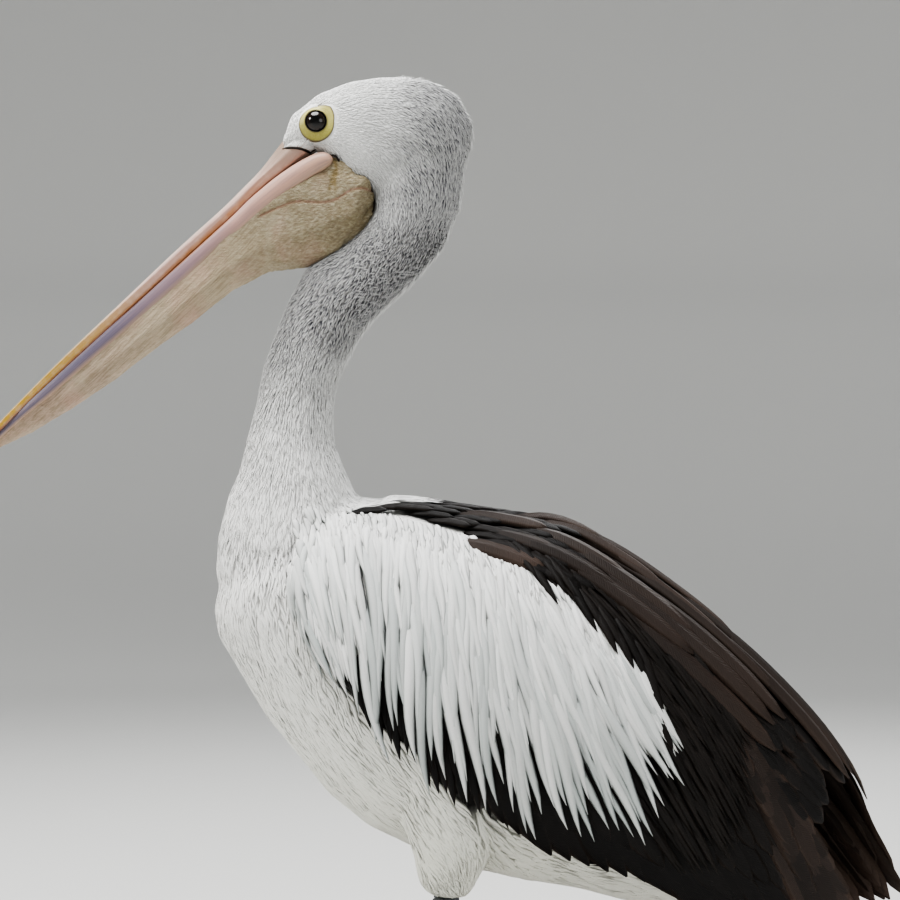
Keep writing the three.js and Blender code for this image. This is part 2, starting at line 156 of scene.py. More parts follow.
def numbers(items, field, width, kind=np.float32):
    """A field of a mesh's vertices, edges or triangles as rows of numbers."""
    found = np.empty(len(items) * width, kind)
    items.foreach_get(field, found)
    return found.reshape(-1, width)


def vertices_of(mesh):
    return numbers(mesh.vertices, "co", 3).astype(float)


def move_vertices(mesh, places):
    mesh.vertices.foreach_set("co", places.astype(np.float32).ravel())
    mesh.update()


def averaged(values, edges):
    """Each vertex's mean of a value over its neighbours."""
    count = len(values)
    ends, others = edges.T
    degree = np.bincount(ends, minlength=count) + np.bincount(others, minlength=count)
    total = np.empty_like(values)
    for column in range(values.shape[1]):
        total[:, column] = np.bincount(ends, values[others, column], count)
        total[:, column] += np.bincount(others, values[ends, column], count)
    return total / np.maximum(degree, 1)[:, None]


# How far each round of smoothing pulls a vertex to its neighbours' middle, and back out.
SMOOTH_IN = 0.63
SMOOTH_OUT = -0.645


def relax(piece, rounds):
    """Smooths facets away without shrinking: each push in is followed by a push out."""
    edges = numbers(piece.data.edges, "vertices", 2, np.int32)
    places = vertices_of(piece.data)
    for _ in range(rounds):
        for push in (SMOOTH_IN, SMOOTH_OUT):
            places += push * (averaged(places, edges) - places)
    move_vertices(piece.data, places)


def fuse(piece, voxel, rounds):
    """Turns all that overlaps in a piece into one skin with soft forms."""
    apply_modifier(piece, "REMESH", mode="VOXEL", voxel_size=voxel * MM)
    relax(piece, rounds)
    piece.data.shade_smooth()
    return piece


def paint(mesh, name, *channels):
    """Keeps three values for each vertex in a colour attribute."""
    colours = np.stack(np.broadcast_arrays(*channels, 1.0), -1)
    layer = mesh.color_attributes.new(name, "FLOAT_COLOR", "POINT")
    layer.data.foreach_set("color", colours.astype(np.float32).ravel())


def curve_through(points, shares):
    """Catmull-Rom samples through rows of numbers: at shares from 0 to 1, or an even count."""
    points = np.asarray(points, float)
    if isinstance(shares, int):
        shares = np.linspace(0, 1, shares)
    steps = shares * (len(points) - 1)
    first = np.minimum(steps.astype(int), len(points) - 2)
    t = (steps - first)[:, None]
    ends = np.vstack([2 * points[0] - points[1], points, 2 * points[-1] - points[-2]])
    a, b, c, d = (ends[first + k] for k in range(4))
    return 0.5 * (2 * b + (c - a) * t + (2 * a - 5 * b + 4 * c - d) * t**2
                  + (3 * b - a - 3 * c + d) * t**3)


def shaped_grid(name, columns, rows, shape, capped=True):
    """A grid whose points move to shape(u, v). Its sides meet, and its ends are closed if capped."""
    piece = primitive(name, bpy.ops.mesh.primitive_grid_add, x_subdivisions=columns,
                      y_subdivisions=rows, size=1)
    flat = vertices_of(piece.data)
    move_vertices(piece.data, shape(flat[:, 0] + 0.5, flat[:, 1] + 0.5))
    with edit_mode(piece):
        bpy.ops.mesh.remove_doubles(threshold=WELD)
        if capped:
            bpy.ops.mesh.select_all(action="DESELECT")
            bpy.ops.mesh.select_non_manifold()
            bpy.ops.mesh.edge_face_add()
    face_outward(piece)
    piece.data.shade_smooth()
    return piece


def soft_end(distance, round_off):
    """How wide a rounded end is, as a share, this far from it."""
    if round_off == 0:
        return 1
    return np.sqrt(np.clip(1 - (1 - np.clip(distance / round_off, 0, 1)) ** 2, 1e-6, 1))


def loft(name, stations, columns=28, rows=80, round_start=0, round_end=0, form=None):
    """A tube through stations [x, z, y, up, down, half] in mm. form(turn, share) scales it."""
    knots = curve_through(stations, 400)[:, :3]
    travel = np.concatenate([[0], np.cumsum(np.linalg.norm(np.diff(knots, axis=0), axis=1))])

    def shape(u, v):
        x, z, y, up, down, half = curve_through(stations, v).T
        ahead = curve_through(stations, np.minimum(v + 1e-3, 1))
        behind = curve_through(stations, np.maximum(v - 1e-3, 0))
        along, rising = unit((ahead - behind)[:, :2]).T
        travelled = np.interp(v, np.linspace(0, 1, 400), travel)
        ends = soft_end(travelled, round_start) * soft_end(travel[-1] - travelled, round_end)
        turn = u * 2 * math.pi
        height, out = np.cos(turn), np.sin(turn)
        lengthened, widened = (1, 1) if form is None else form(turn, v)
        reach = height * np.where(height > 0, up, down) * ends * lengthened
        return spots(x - rising * reach, z + along * reach, y + out * half * ends * widened)

    return shaped_grid(name, columns, rows, shape)


def surface_of(piece):
    """A piece's triangles in a search tree, with their corners' normals."""
    mesh = piece.data
    mesh.calc_loop_triangles()
    corners = numbers(mesh.loop_triangles, "vertices", 3, np.int32)
    places = vertices_of(mesh)
    tree = BVHTree.FromPolygons(places.tolist(), corners.tolist())
    normals = numbers(mesh.vertex_normals, "vector", 3).astype(float)
    return {"tree": tree, "places": places, "corners": corners, "normals": normals, "mesh": mesh}


def shares_of(surface, triangles, points):
    """Where points lie in their triangles, as three weights."""
    a, b, c = (surface["places"][surface["corners"][triangles, k]] for k in range(3))
    ab, ac, ap = b - a, c - a, points - a
    d00, d01, d11 = (ab * ab).sum(1), (ab * ac).sum(1), (ac * ac).sum(1)
    d20, d21 = (ap * ab).sum(1), (ap * ac).sum(1)
    below = np.maximum(d00 * d11 - d01 * d01, 1e-18)
    v = np.clip((d11 * d20 - d01 * d21) / below, 0, 1)
    w = np.clip((d00 * d21 - d01 * d20) / below, 0, 1)
    return np.stack([1 - v - w, v, w], axis=1)


def onto(surface, points):
    """The nearest places on a surface, their normals and their triangles."""
    places = np.empty((len(points), 3))
    triangles = np.empty(len(points), int)
    for i, point in enumerate(points.tolist()):
        place, _, triangle, _ = surface["tree"].find_nearest(point)
        places[i] = place
        triangles[i] = triangle
    weights = shares_of(surface, triangles, places)
    corner_normals = surface["normals"][surface["corners"][triangles]]
    normals = unit((corner_normals * weights[:, :, None]).sum(axis=1))
    return places, normals, triangles


def unit(rows):
    return rows / np.maximum(np.linalg.norm(rows, axis=-1, keepdims=True), 1e-12)


# ---- Materials ------------------------------------------------------------------------------


class Nodes:
    """A tree of shader nodes, with short ways to add and join them."""

    def __init__(self, tree):
        self.tree = tree

    def add(self, kind, inputs=None, **settings):
        node = self.tree.nodes.new("ShaderNode" + kind)
        for key, value in settings.items():
            setattr(node, key, value)
        for socket, value in (inputs or {}).items():
            self.join(value, node.inputs[socket])
        return node

    def join(self, value, socket):
        if isinstance(value, bpy.types.NodeSocket):
            self.tree.links.new(value, socket)
        else:
            socket.default_value = value

    def math(self, operation, a, b=0.0, clamp=False):
        return self.add("Math", {0: a, 1: b}, operation=operation, use_clamp=clamp).outputs[0]

    def plus(self, a, b):
        return self.math("ADD", a, b)

    def minus(self, a, b):
        return self.math("SUBTRACT", a, b)

    def times(self, a, b):
        return self.math("MULTIPLY", a, b)

    def axes(self, vector):
        """The x, y and z of a vector."""
        return self.add("SeparateXYZ", {0: vector}).outputs


class Finish(Nodes):
    """A material on the Principled shader."""

    def __init__(self, name, **settings):
        self.material = bpy.data.materials.new(name)
        self.material.use_nodes = True
        super().__init__(self.material.node_tree)
        self.shader = self.tree.nodes["Principled BSDF"]
        self.shade(**settings)

    def parts(self, name):
        """The three channels of a colour attribute."""
        colour = self.add("Attribute", attribute_name=name).outputs["Color"]
        return self.add("SeparateColor", {"Color": colour}).outputs[:3]

    def place(self):
        return self.add("TexCoord").outputs["Object"]

    def uv(self, name="UVMap"):
        return self.add("UVMap", uv_map=name).outputs[0]

    def noise(self, scale, detail=4, stretch=(1, 1, 1), rough=0.55):
        at = self.add("Mapping", {"Vector": self.place(), "Scale": stretch}).outputs[0]
        inputs = {"Vector": at, "Scale": scale, "Detail": detail, "Roughness": rough}
        return self.add("TexNoise", inputs).outputs["Fac"]

    def blend(self, share, a, b, how="MIX"):
        inputs = {"Factor": share, 6: a, 7: b}
        return self.add("Mix", inputs, data_type="RGBA", blend_type=how).outputs[2]

    def between(self, value, low, high, to_low=0.0, to_high=1.0):
        """Carries a value from one range over to another and holds it there."""
        inputs = {"Value": value, "From Min": low, "From Max": high, "To Min": to_low, "To Max": to_high}
        return self.add("MapRange", inputs).outputs[0]

    def tint(self, colour, value, low, high, other, most=1.0):
        """Brings a colour towards another, by most of it, as a value goes from low to high."""
        return self.blend(self.between(value, low, high, 0.0, most), colour, other)

    def bump(self, height, strength, distance=0.001):
        inputs = {"Height": height, "Strength": strength, "Distance": distance}
        return self.add("Bump", inputs).outputs["Normal"]

    def shade(self, **sockets):
        for socket, value in sockets.items():
            self.join(value, self.shader.inputs[socket.replace("_", " ")])
        return self.material


def rgb(red, green, blue):
    return (red, green, blue, 1.0)


def belly_shade_amount(finish):
    """How much painted shade the belly gets, by how far down it a place is: from 0 on the breast to 0.75
    underneath.
    """
    return finish.between(finish.axes(finish.place())[2], 520 * MM, 220 * MM, 0.0, 0.75)


def barbs_group():
    """The fine barbs of a vane: lines that slant from the shaft out to both edges."""
    tree = bpy.data.node_groups.new("barbs", "ShaderNodeTree")
    for name, kind in (("Vane", "Vector"), ("Spacing", "Float"), ("Slant", "Float")):
        tree.interface.new_socket(name, in_out="INPUT", socket_type="NodeSocket" + kind)
    for name in ("Height", "Edge", "Shaft"):
        tree.interface.new_socket(name, in_out="OUTPUT", socket_type="NodeSocketFloat")
    given = tree.nodes.new("NodeGroupInput").outputs
    result = tree.nodes.new("NodeGroupOutput").inputs
    group = Nodes(tree)
    across, length = group.axes(given["Vane"])[:2]
    edge = group.times(group.math("ABSOLUTE", group.minus(across, 0.5)), 2.0)
    along = group.minus(length, group.times(edge, given["Slant"]))
    group.join(group.math("SINE", group.math("DIVIDE", along, given["Spacing"])), result["Height"])
    group.join(edge, result["Edge"])
    group.join(group.math("LESS_THAN", edge, 0.09), result["Shaft"])
    return tree


BARBS = barbs_group()


def feather_finish(name, light, dark, edge, barb_strength, roughness=0.75, spacing=0.11, tip_fade=0.0,
                   unevenness=0.1, margin_and_shade_from=0.55, gloss=0.25, belly_shade=None):
    """Plumage from light to dark by the plume attribute: tip_fade lightens its tips, or darkens them."""
    finish = Finish(name, Roughness=roughness, Specular_IOR_Level=gloss)
    mark, chance, along = finish.parts("plume")
    mark = finish.times(mark, finish.between(along, 0.45, 0.95, 1.0, 1.0 - tip_fade))
    speckle = finish.between(finish.noise(900, detail=2), 0.3, 0.7, -0.06, 0.06)
    colour = finish.blend(finish.math("ADD", mark, speckle, clamp=True), light, dark)
    barbs = finish.add("Group", {"Vane": finish.uv("Vane"), "Spacing": spacing, "Slant": 0.5},
                       node_tree=BARBS).outputs
    # The edge colour comes in from the vane's edges: a real margin on most plumage, and painted shade down
    # the vane's sides on the white coverts.
    margin_and_side_shade = finish.between(barbs["Edge"], margin_and_shade_from, 1.0, 0.0, 0.8)
    colour = finish.blend(finish.times(margin_and_side_shade, finish.between(along, 0.2, 1.0)), colour, edge)
    shade = finish.between(chance, 0.0, 1.0, 1.0 - unevenness, 1.0 + unevenness / 2)
    grey = finish.add("CombineColor", {0: shade, 1: shade, 2: shade}).outputs[0]
    colour = finish.blend(1.0, colour, grey, "MULTIPLY")
    # Painted shade, with a greenish reflected tint, down the lower belly.
    if belly_shade:
        colour = finish.blend(belly_shade_amount(finish), colour, belly_shade)
    height = finish.plus(barbs["Height"], finish.times(barbs["Shaft"], 2.0))
    return finish.shade(Base_Color=colour, Normal=finish.bump(height, barb_strength, 0.0004))


# Painted shade on the lower belly, with a greenish-cream reflected tint.
BELLY_SHADE = rgb(0.72, 0.72, 0.62)

white_small = feather_finish("white_small_feathers", rgb(0.84, 0.84, 0.825), rgb(0.060, 0.060, 0.072),
                             rgb(0.88, 0.88, 0.86), 0.0, roughness=0.8, tip_fade=0.7, unevenness=0.05,
                             belly_shade=BELLY_SHADE)
# On the white coverts the edge colour is painted shade down the sides of each vane, so that only its crest
# stays white, and the dark colour carries the painted shade of the lower panel.
white_vanes = feather_finish("white_wing_coverts", rgb(0.77, 0.77, 0.755), rgb(0.49, 0.52, 0.51),
                             rgb(0.25, 0.29, 0.28), 0.2, roughness=0.7, spacing=0.03, unevenness=0.16,
                             margin_and_shade_from=0.12)
black_vanes = feather_finish("black_flight_feathers", rgb(0.0030, 0.0026, 0.0026), rgb(0.017, 0.013, 0.011),
                             rgb(0.034, 0.024, 0.018), 0.35, roughness=0.55, spacing=0.03, unevenness=0.5,
                             gloss=0.16)
brown_vanes = feather_finish("brown_back_feathers", rgb(0.0060, 0.0048, 0.0044), rgb(0.058, 0.038, 0.029),
                             rgb(0.085, 0.056, 0.042), 0.35, roughness=0.55, spacing=0.03, unevenness=0.5,
                             margin_and_shade_from=0.5, tip_fade=-0.9, gloss=0.2)


# ---- Feathers ---------------------------------------------------------------------------------

# A vane's cross-section: [across, rise] around it, from one edge over the shaft to the other.
BROAD_VANE = [(-1, 0), (-0.55, 0.6), (-0.08, 1.0), (0, 2.0), (0.08, 1.0), (0.55, 0.6), (1, 0), (0, -0.6)]
SLIM_VANE = [(-1, 0), (-0.45, 0.8), (0, 1.2), (0.45, 0.8), (1, 0), (0, -0.5)]
TUFT = [(-1, 0), (0, 1.0), (1, 0)]
# Each feather's spot on the skin's unwrap is this wide.
BAKE_PATCH = 0.003


def paths_on(surface, roots, ways, lengths, steps, lie=None, hold=0.5, wobble=0.0, phase=None, turn=2.6):
    """Lays one line per feather along a surface. Returns the lines and their normals."""
    places, normals, _ = onto(surface, roots)
    ways = unit(ways - (ways * normals).sum(1)[:, None] * normals)
    lines, ups = [places], [normals]
    stride = (lengths / (steps - 1))[:, None]
    for k in range(1, steps):
        if lie is not None:
            ways = unit(ways * hold + lie(places) * (1 - hold))
        if wobble:
            aside = np.cross(normals, ways)
            ways = unit(ways + aside * wobble * np.cos(phase + turn * k)[:, None])
        places, normals, _ = onto(surface, places + ways * stride)
        ways = unit(places - lines[-1])
        lines.append(places)
        ups.append(normals)
    return np.stack(lines, 1), np.stack(ups, 1)


def vane_mesh(name, lines, ups, widths, section, thickness, camber, plume, bake_spots):
    """One closed solid per feather, joined in one mesh, with its UV maps and colours."""
    count, steps = lines.shape[:2]
    out, rise = np.transpose(section).astype(float)
    sides = len(out)
    tangents = unit(np.gradient(lines, axis=1))
    across = unit(np.cross(ups, tangents))
    above = unit(np.cross(tangents, across))
    lift = rise * thickness[:, :, None] + camber * (1 - out**2) * widths[:, :, None]
    points = (lines[:, :, None] + across[:, :, None] * (widths[:, :, None] * out)[..., None]
              + above[:, :, None] * lift[..., None])
    ring = np.arange(sides)
    following = (ring + 1) % sides
    base = (np.arange(count)[:, None, None] * steps + np.arange(steps - 1)[None, :, None]) * sides
    quads = np.stack([base + ring, base + following, base + sides + following, base + sides + ring], -1)
    starts = np.arange(count)[:, None] * steps * sides
    root_caps = starts + ring[::-1]
    tip_caps = starts + (steps - 1) * sides + ring
    loops = np.concatenate([quads.ravel(), root_caps.ravel(), tip_caps.ravel()])
    sizes = np.repeat([4, sides], [quads.size // 4, 2 * count])
    mesh = bpy.data.meshes.new(name)
    mesh.vertices.add(count * steps * sides)
    mesh.loops.add(len(loops))
    mesh.polygons.add(len(sizes))
    mesh.vertices.foreach_set("co", points.astype(np.float32).ravel())
    mesh.loops.foreach_set("vertex_index", loops.astype(np.int32))
    mesh.polygons.foreach_set("loop_start", (np.cumsum(sizes) - sizes).astype(np.int32))
    mesh.update(calc_edges=True)
    strides = np.linalg.norm(np.diff(lines, axis=1), axis=2)
    distance = np.concatenate([np.zeros((count, 1)), strides.cumsum(1)], 1)[:, :, None]
    u, v, along = np.broadcast_arrays(out * 0.5 + 0.5, distance * 100, distance / distance[:, -1:])
    bake = bake_spots[:, None, None] + np.stack([u - 0.5, along - 0.5], -1) * BAKE_PATCH
    for map_name, values in (("OFBake", bake), ("Vane", np.stack([u, v], -1))):
        layer = mesh.uv_layers.new(name=map_name)
        layer.data.foreach_set("uv", values.reshape(-1, 2)[loops].astype(np.float32).ravel())
    mesh.uv_layers.active_index = 0
    paint(mesh, "plume", *(np.reshape(part, (count, -1, 1)) for part in plume), along)
    mesh.shade_smooth()
    return mesh


# A feather's half width along it, as shares of its widest, at shares of its length.
OUTLINES = {
    "spear": ([0, 0.12, 0.45, 0.75, 0.92, 1], [0.35, 0.8, 1, 0.72, 0.3, 0.04]),
    "blade": ([0, 0.1, 0.5, 0.85, 0.96, 1], [0.3, 0.7, 1, 0.95, 0.55, 0.08]),
    "strap": ([0, 0.1, 0.5, 0.8, 0.95, 1], [0.4, 0.8, 1, 0.95, 0.6, 0.15]),
    "tuft": ([0, 0.3, 0.7, 1], [0.55, 1, 0.7, 0.06]),
}


# ---- The bird's forms ------------------------------------------------------------------------

# Blocks that cut the forms reach this far to each side.
HALF_SPAN = 250

# The folded wings and the back lie on one smooth form: [x, z, y, up, down, half width].
PLUMAGE_LINE = [
    [-230, 467, 0, 60, 55, 46], [-198, 455, 0, 70, 64, 70], [-144, 435, 0, 124, 109, 104],
    [-68, 405, 0, 159, 151, 130], [15, 360, 0, 195, 165, 142], [95, 319, 0, 194, 155, 142],
    [175, 280, 0, 177, 150, 130], [253, 236, 0, 153, 150, 112], [319, 192, 0, 126, 150, 92],
    [375, 148, 0, 90, 140, 72], [423, 109, 0, 68, 120, 52], [465, 72, 0, 56, 100, 36],
]
# The bend of the wing in side view, from its top round to its lowest point.
WING_FRONT = [
    [-62, 540], [-96, 544], [-120, 541], [-139, 534], [-152, 521], [-156, 494], [-153, 475],
    [-147, 452], [-139, 423], [-126, 400], [-110, 376], [-97, 366],
]
# What is firm under the folded wings ends this far in from the feathers' tips.
FIRM_WING = [
    [-220, 700], [-220, 424], [-114, 424], [-90, 398], [-70, 374], [-42, 346], [-15, 320], [25, 288],
    [60, 264], [100, 236], [140, 224], [190, 208], [228, 190], [290, 160], [345, 140], [370, 150],
    [352, 190],
    [318, 240], [300, 285], [306, 330], [330, 700],
]


def side_prism(outline):
    """A block with a side-view outline of [x, z] points that spans the whole bird."""
    prism = primitive("prism", bpy.ops.mesh.primitive_circle_add, vertices=len(outline), radius=1,
                      fill_type="NGON")
    order = np.argsort([math.atan2(v.co.y, v.co.x) % (2 * math.pi) for v in prism.data.vertices])
    places = np.empty((len(outline), 3))
    places[order] = spots(*np.transpose(outline), -HALF_SPAN)
    move_vertices(prism.data, places)
    with edit_mode(prism):
        bpy.ops.mesh.extrude_region_move(TRANSFORM_OT_translate={"value": (0, 2 * HALF_SPAN * MM, 0)})
    face_outward(prism)
    return prism


def cut_to(piece, outline):
    """Keeps only what lies inside a side-view outline."""
    prism = side_prism(outline)
    apply_modifier(piece, "BOOLEAN", operation="INTERSECT", object=prism, solver="EXACT")
    discard(prism)


def make_wing_form():
    """The body with the swell of the folded wings and back, with no lower edge to them."""
    swell = loft("swell", PLUMAGE_LINE, columns=72, rows=150, round_start=38)
    cut_to(swell, [[-62, 700], [-62, 548], *WING_FRONT[1:], [-97, -60], [620, -60], [620, 700]])
    return fuse(joined("wing_form", [copy_nodes("flesh", FLESH), swell]), 4, 60)


def make_skin():
    """One skin for the whole body and the firm part of the wings, inside the feathers."""
    wings = copy_nodes("firm_wings", WINGS)
    cut_to(wings, FIRM_WING)
    return fuse(joined("skin", [wings, copy_nodes("flesh", FLESH)]), 4.2, 50)


# The bird without its wings, out to the tips of the small feathers.
body_form = fuse(copy_nodes("body_form", FLESH), 3.5, 60)
wing_form = make_wing_form()
skin = make_skin()
body_surface = surface_of(body_form)
wing_surface = surface_of(wing_form)
wings_only = copy_nodes("wings_only", WINGS)
covering_wings = surface_of(wings_only)
discard(wings_only)


def heights(points):
    """x, y and height above the soles of points in the frame, in millimetres."""
    return points[:, 0] / MM, points[:, 1] / MM, (points[:, 2] - SOLE_HEIGHT) / MM


def inside(outline, x, z):
    """Which side-view points lie inside an outline."""
    found = np.zeros(len(x), bool)
    for (x0, z0), (x1, z1) in zip(outline, [*outline[1:], outline[0]]):
        crosses = (z0 > z) != (z1 > z)
        where = x0 + (z - z0) * (x1 - x0) / (z1 - z0 if z1 != z0 else 1e-9)
        found ^= crosses & (x < where)
    return found


def distance_to(line, x, z):
    """How far side-view points are from a line."""
    nearest = np.full(len(x), np.inf)
    for (x0, z0), (x1, z1) in zip(line[:-1], line[1:]):
        dx, dz = x1 - x0, z1 - z0
        along = np.clip(((x - x0) * dx + (z - z0) * dz) / (dx**2 + dz**2), 0, 1)
        nearest = np.minimum(nearest, np.hypot(x - x0 - along * dx, z - z0 - along * dz))
    return nearest


def line_at(line, x):
    """The heights of a side-view line, whose points run rearward, at each x."""
    return np.interp(x, *np.transpose(line))


def guided(hints, reach=22.0):
    """A smooth field through side-view hints [x, z, values...], weighted by nearness."""
    hints = np.asarray(hints, float)

    def field(x, z):
        apart = (x[:, None] - hints[:, 0]) ** 2 + (z[:, None] - hints[:, 1]) ** 2
        weights = 1 / (apart + reach**2) ** 2
        return weights @ hints[:, 2:] / weights.sum(axis=1, keepdims=True)

    return field


def hidden_by_wings(points, normals):
    """Which places lie under a folded wing: close under it, over the open rump."""
    cast = covering_wings["tree"].ray_cast
    over_rump = points[:, 0] > 165 * MM
    reaches = np.where(over_rump, 12 * MM, 90 * MM)
    rays = zip(points.tolist(), normals.tolist(), reaches.tolist())
    return np.array([cast(*ray)[0] is not None for ray in rays])


# Random points tried for each cell of a tract, of which one stays.
TRIES_PER_CELL = 5


def scatter(surface, cell, keep):
    """Random points on a surface, about one to each cell, where keep(points) allows them."""
    a, b, c = (surface["places"][surface["corners"][:, k]] for k in range(3))
    areas = np.linalg.norm(np.cross(b - a, c - a), axis=1) / 2
    count = int(areas.sum() / cell**2 * TRIES_PER_CELL)
    picks = np.searchsorted(np.cumsum(areas), rng.random(count) * areas.sum())
    r = np.sqrt(rng.random((count, 1)))
    s = rng.random((count, 1))
    points = a[picks] * (1 - r) + b[picks] * r * (1 - s) + c[picks] * r * s
    points = points[keep(points)]
    _, first = np.unique(np.floor(points / cell).astype(int), axis=0, return_index=True)
    return points[np.sort(first)]


# How the small feathers lie in side view: [x, z, rearward, upward].
body_lie_field = guided([
    [-165, 915, 0.3, 1.0], [-152, 935, 0.6, 1.0], [-120, 965, 1.0, 0.5], [-70, 975, 1.0, 0.0],
    [-20, 965, 1.0, -0.5], [5, 940, 0.5, -1.0], [15, 890, 0.0, -1.0], [-100, 935, 1.0, 0.2],
    [-110, 900, 1.0, -0.25], [-60, 920, 1.0, -0.35], [-90, 870, 0.8, -0.7], [-40, 880, 0.6, -0.9],
    [0, 850, -0.2, -1.0], [-70, 840, 0.2, -1.0], [-20, 810, -0.7, -1.0], [-80, 790, -0.7, -1.0],
    [-120, 765, -0.8, -1.0], [-60, 745, -0.8, -1.0], [-110, 700, -0.35, -1.0], [-160, 690, -0.3, -1.0],
    [-120, 620, -0.1, -1.0], [-190, 610, -0.15, -1.0], [-110, 560, 0.25, -1.0], [-210, 550, -0.2, -1.0],
    [-160, 540, 0.0, -1.0], [-230, 480, 0.05, -1.0], [-185, 480, 0.1, -1.0], [-225, 420, 0.3, -1.0],
    [-180, 420, 0.35, -1.0], [-190, 350, 0.6, -1.0], [-140, 360, 0.45, -1.0], [-140, 290, 0.9, -0.9],
    [-90, 300, 0.7, -0.9], [-90, 240, 1.0, -0.7], [-40, 250, 0.9, -0.8], [-30, 200, 0.5, -1.0],
    [10, 200, 0.3, -1.0], [80, 200, 1.0, -0.35], [150, 160, 1.0, -0.2], [220, 150, 1.0, -0.3],
    [-70, 545, 1.0, -0.1], [0, 545, 1.0, -0.15], [60, 520, 1.0, -0.4], [300, 180, 1.0, -0.7],
])


def body_lie(points):
    x, _, z = heights(points)
    way = body_lie_field(x, z)
    return np.stack([way[:, 0], np.zeros(len(x)), way[:, 1]], axis=-1)


# How grey the small feathers are in side view: [x, z, amount].
grey_field = guided([
    [-140, 945, 0.03], [-100, 970, 0.10], [-60, 975, 0.22], [-105, 905, 0.12], [-100, 880, 0.14],
    [-70, 925, 0.34], [-30, 955, 0.75], [0, 950, 1.05], [14, 900, 1.2], [-40, 900, 0.68],
    [-10, 920, 1.0], [-70, 880, 0.30], [-30, 860, 0.95], [8, 855, 1.2], [-60, 845, 0.65],
    [-20, 815, 1.15], [-60, 800, 0.98], [-100, 790, 0.85],
    [-130, 765, 0.85], [-60, 765, 1.05], [-90, 745, 1.0],
    [-120, 720, 0.90], [-150, 735, 0.80], [-95, 715, 0.80], [-165, 700, 0.75], [-135, 680, 0.66],
    [-108, 680, 0.25], [-170, 655, 0.42], [-145, 640, 0.34], [-115, 640, 0.05], [-185, 620, 0.14],
    [-150, 600, 0.10], [-110, 590, 0.0], [-200, 570, 0.04], [-150, 560, 0.0], [-200, 500, 0.0],
    [-100, 500, 0.0], [-200, 350, 0.0], [0, 200, 0.0], [0, 540, 0.0], [200, 150, 0.0],
], reach=14.0)


def greyness(points):
    x, _, z = heights(points)
    amount = np.clip(grey_field(x, z)[:, 0] - 0.05, 0, 1)
    # Painted shadow on the small feathers just in front of the folded wing's front edge.
    wing_shadow_distance = distance_to(WING_FRONT[4:], x, z)
    amount = np.maximum(amount, 0.34 * np.exp(-((wing_shadow_distance / 6) ** 2)))
    # Painted shadow: feathers right at the edge of the bare face are dark.
    edge = distance_to(FACE_EDGE, x, z)
    return np.where((edge < 2.0) & (z > 822), 1.0, amount)


# ---- Where plumage is white, black or bare ----------------------------------------------------

# The feathered edge of the face, from the forehead round the gape to the throat.
FACE_EDGE = [
    [-167, 900], [-150, 899], [-135, 895], [-120, 892], [-113, 891], [-107, 881], [-100, 874],
    [-86, 870], [-78, 859], [-75, 845], [-77, 836], [-84, 827.5], [-95, 816], [-109, 804],
    [-124, 794.5], [-143, 781],
]
BARE_FACE = FACE_EDGE + [[-300, 781], [-300, 960], [-190, 960]]
# The white panel of wing coverts: its upper edge, and the line its lowest points reach.
PANEL_TOP = [
    [-156, 494], [-152, 521], [-139, 535], [-120, 541], [-96, 544], [-68, 541], [-29, 532],
    [23, 518], [59, 503], [91, 479], [134, 442], [172, 407], [200, 368], [216, 326],
]
PANEL_TIPS = [
    [-156, 488], [-147, 452], [-139, 423], [-126, 400], [-110, 378], [-95, 368], [-79, 354],
    [-49, 315], [-20, 290], [5, 278], [24, 268], [52, 254], [78, 242], [112, 238], [156, 235],
    [194, 233], [206, 258], [216, 300],
]
# Tips of the black coverts that show under the front of the panel.
BLACK_TIPS = [
    [-95, 362], [-68, 324], [-46, 308], [-22, 284], [0, 268], [19, 250], [38, 250], [57, 238],
]
# The crown, nape and hind neck in side view.
NAPE_LINE = [
    [-45, 975], [-15, 962], [5, 935], [12, 890], [6, 845], [-15, 800], [-45, 762], [-72, 730],
    [-90, 700],
]


# ---- Laying out the coat ------------------------------------------------------------------------

# A tract with more triangles than this is split into several pieces.
PIECE_TRIANGLES = 190000

# Length and half width of the small feathers in side view: [x, z, length, half].
small_size_field = guided([
    [-155, 925, 4.5, 0.55], [-150, 905, 4.0, 0.5], [-110, 955, 6.5, 0.65], [-60, 970, 8.5, 0.75],
    [-110, 895, 5.5, 0.6], [-90, 870, 5.0, 0.6], [0, 940, 12, 0.85], [10, 860, 13, 0.95],
    [-80, 835, 7.0, 0.7], [-50, 900, 8.0, 0.75], [-60, 800, 12, 0.9], [-110, 760, 12, 0.95],
    [-90, 720, 13, 1.0], [-150, 680, 15, 1.05], [-110, 640, 20, 1.15], [-160, 600, 30, 1.5],
    [-120, 570, 34, 1.8], [-200, 540, 40, 2.3], [-140, 520, 40, 2.4], [-225, 470, 58, 2.7],
    [-190, 380, 66, 3.0], [-140, 290, 66, 3.3], [-60, 230, 60, 3.4], [60, 190, 60, 3.8],
    [200, 150, 60, 4.4], [-5, 185, 26, 2.1], [-10, 170, 20, 1.8], [-60, 545, 30, 2.8],
    [20, 540, 40, 3.6],
])

# The middle of the left eyeball, mirrored for the right one, and its radius, in mm.
EYE = {"x": -132.5, "y": 23.0, "z": 925.0, "radius": 12.0}
# The bare ring's reach round the eye, every 45 degrees from the rear over the top, in mm.
RING_REACH = [18.5, 21.2, 14.6, 15.0, 17.2, 19.4, 20.3, 20.0, 18.5]


def ring_reach(turn):
    """How far out the bare ring goes, in mm."""
    return np.interp(turn / (2 * math.pi) % 1, np.linspace(0, 1, 9), RING_REACH)


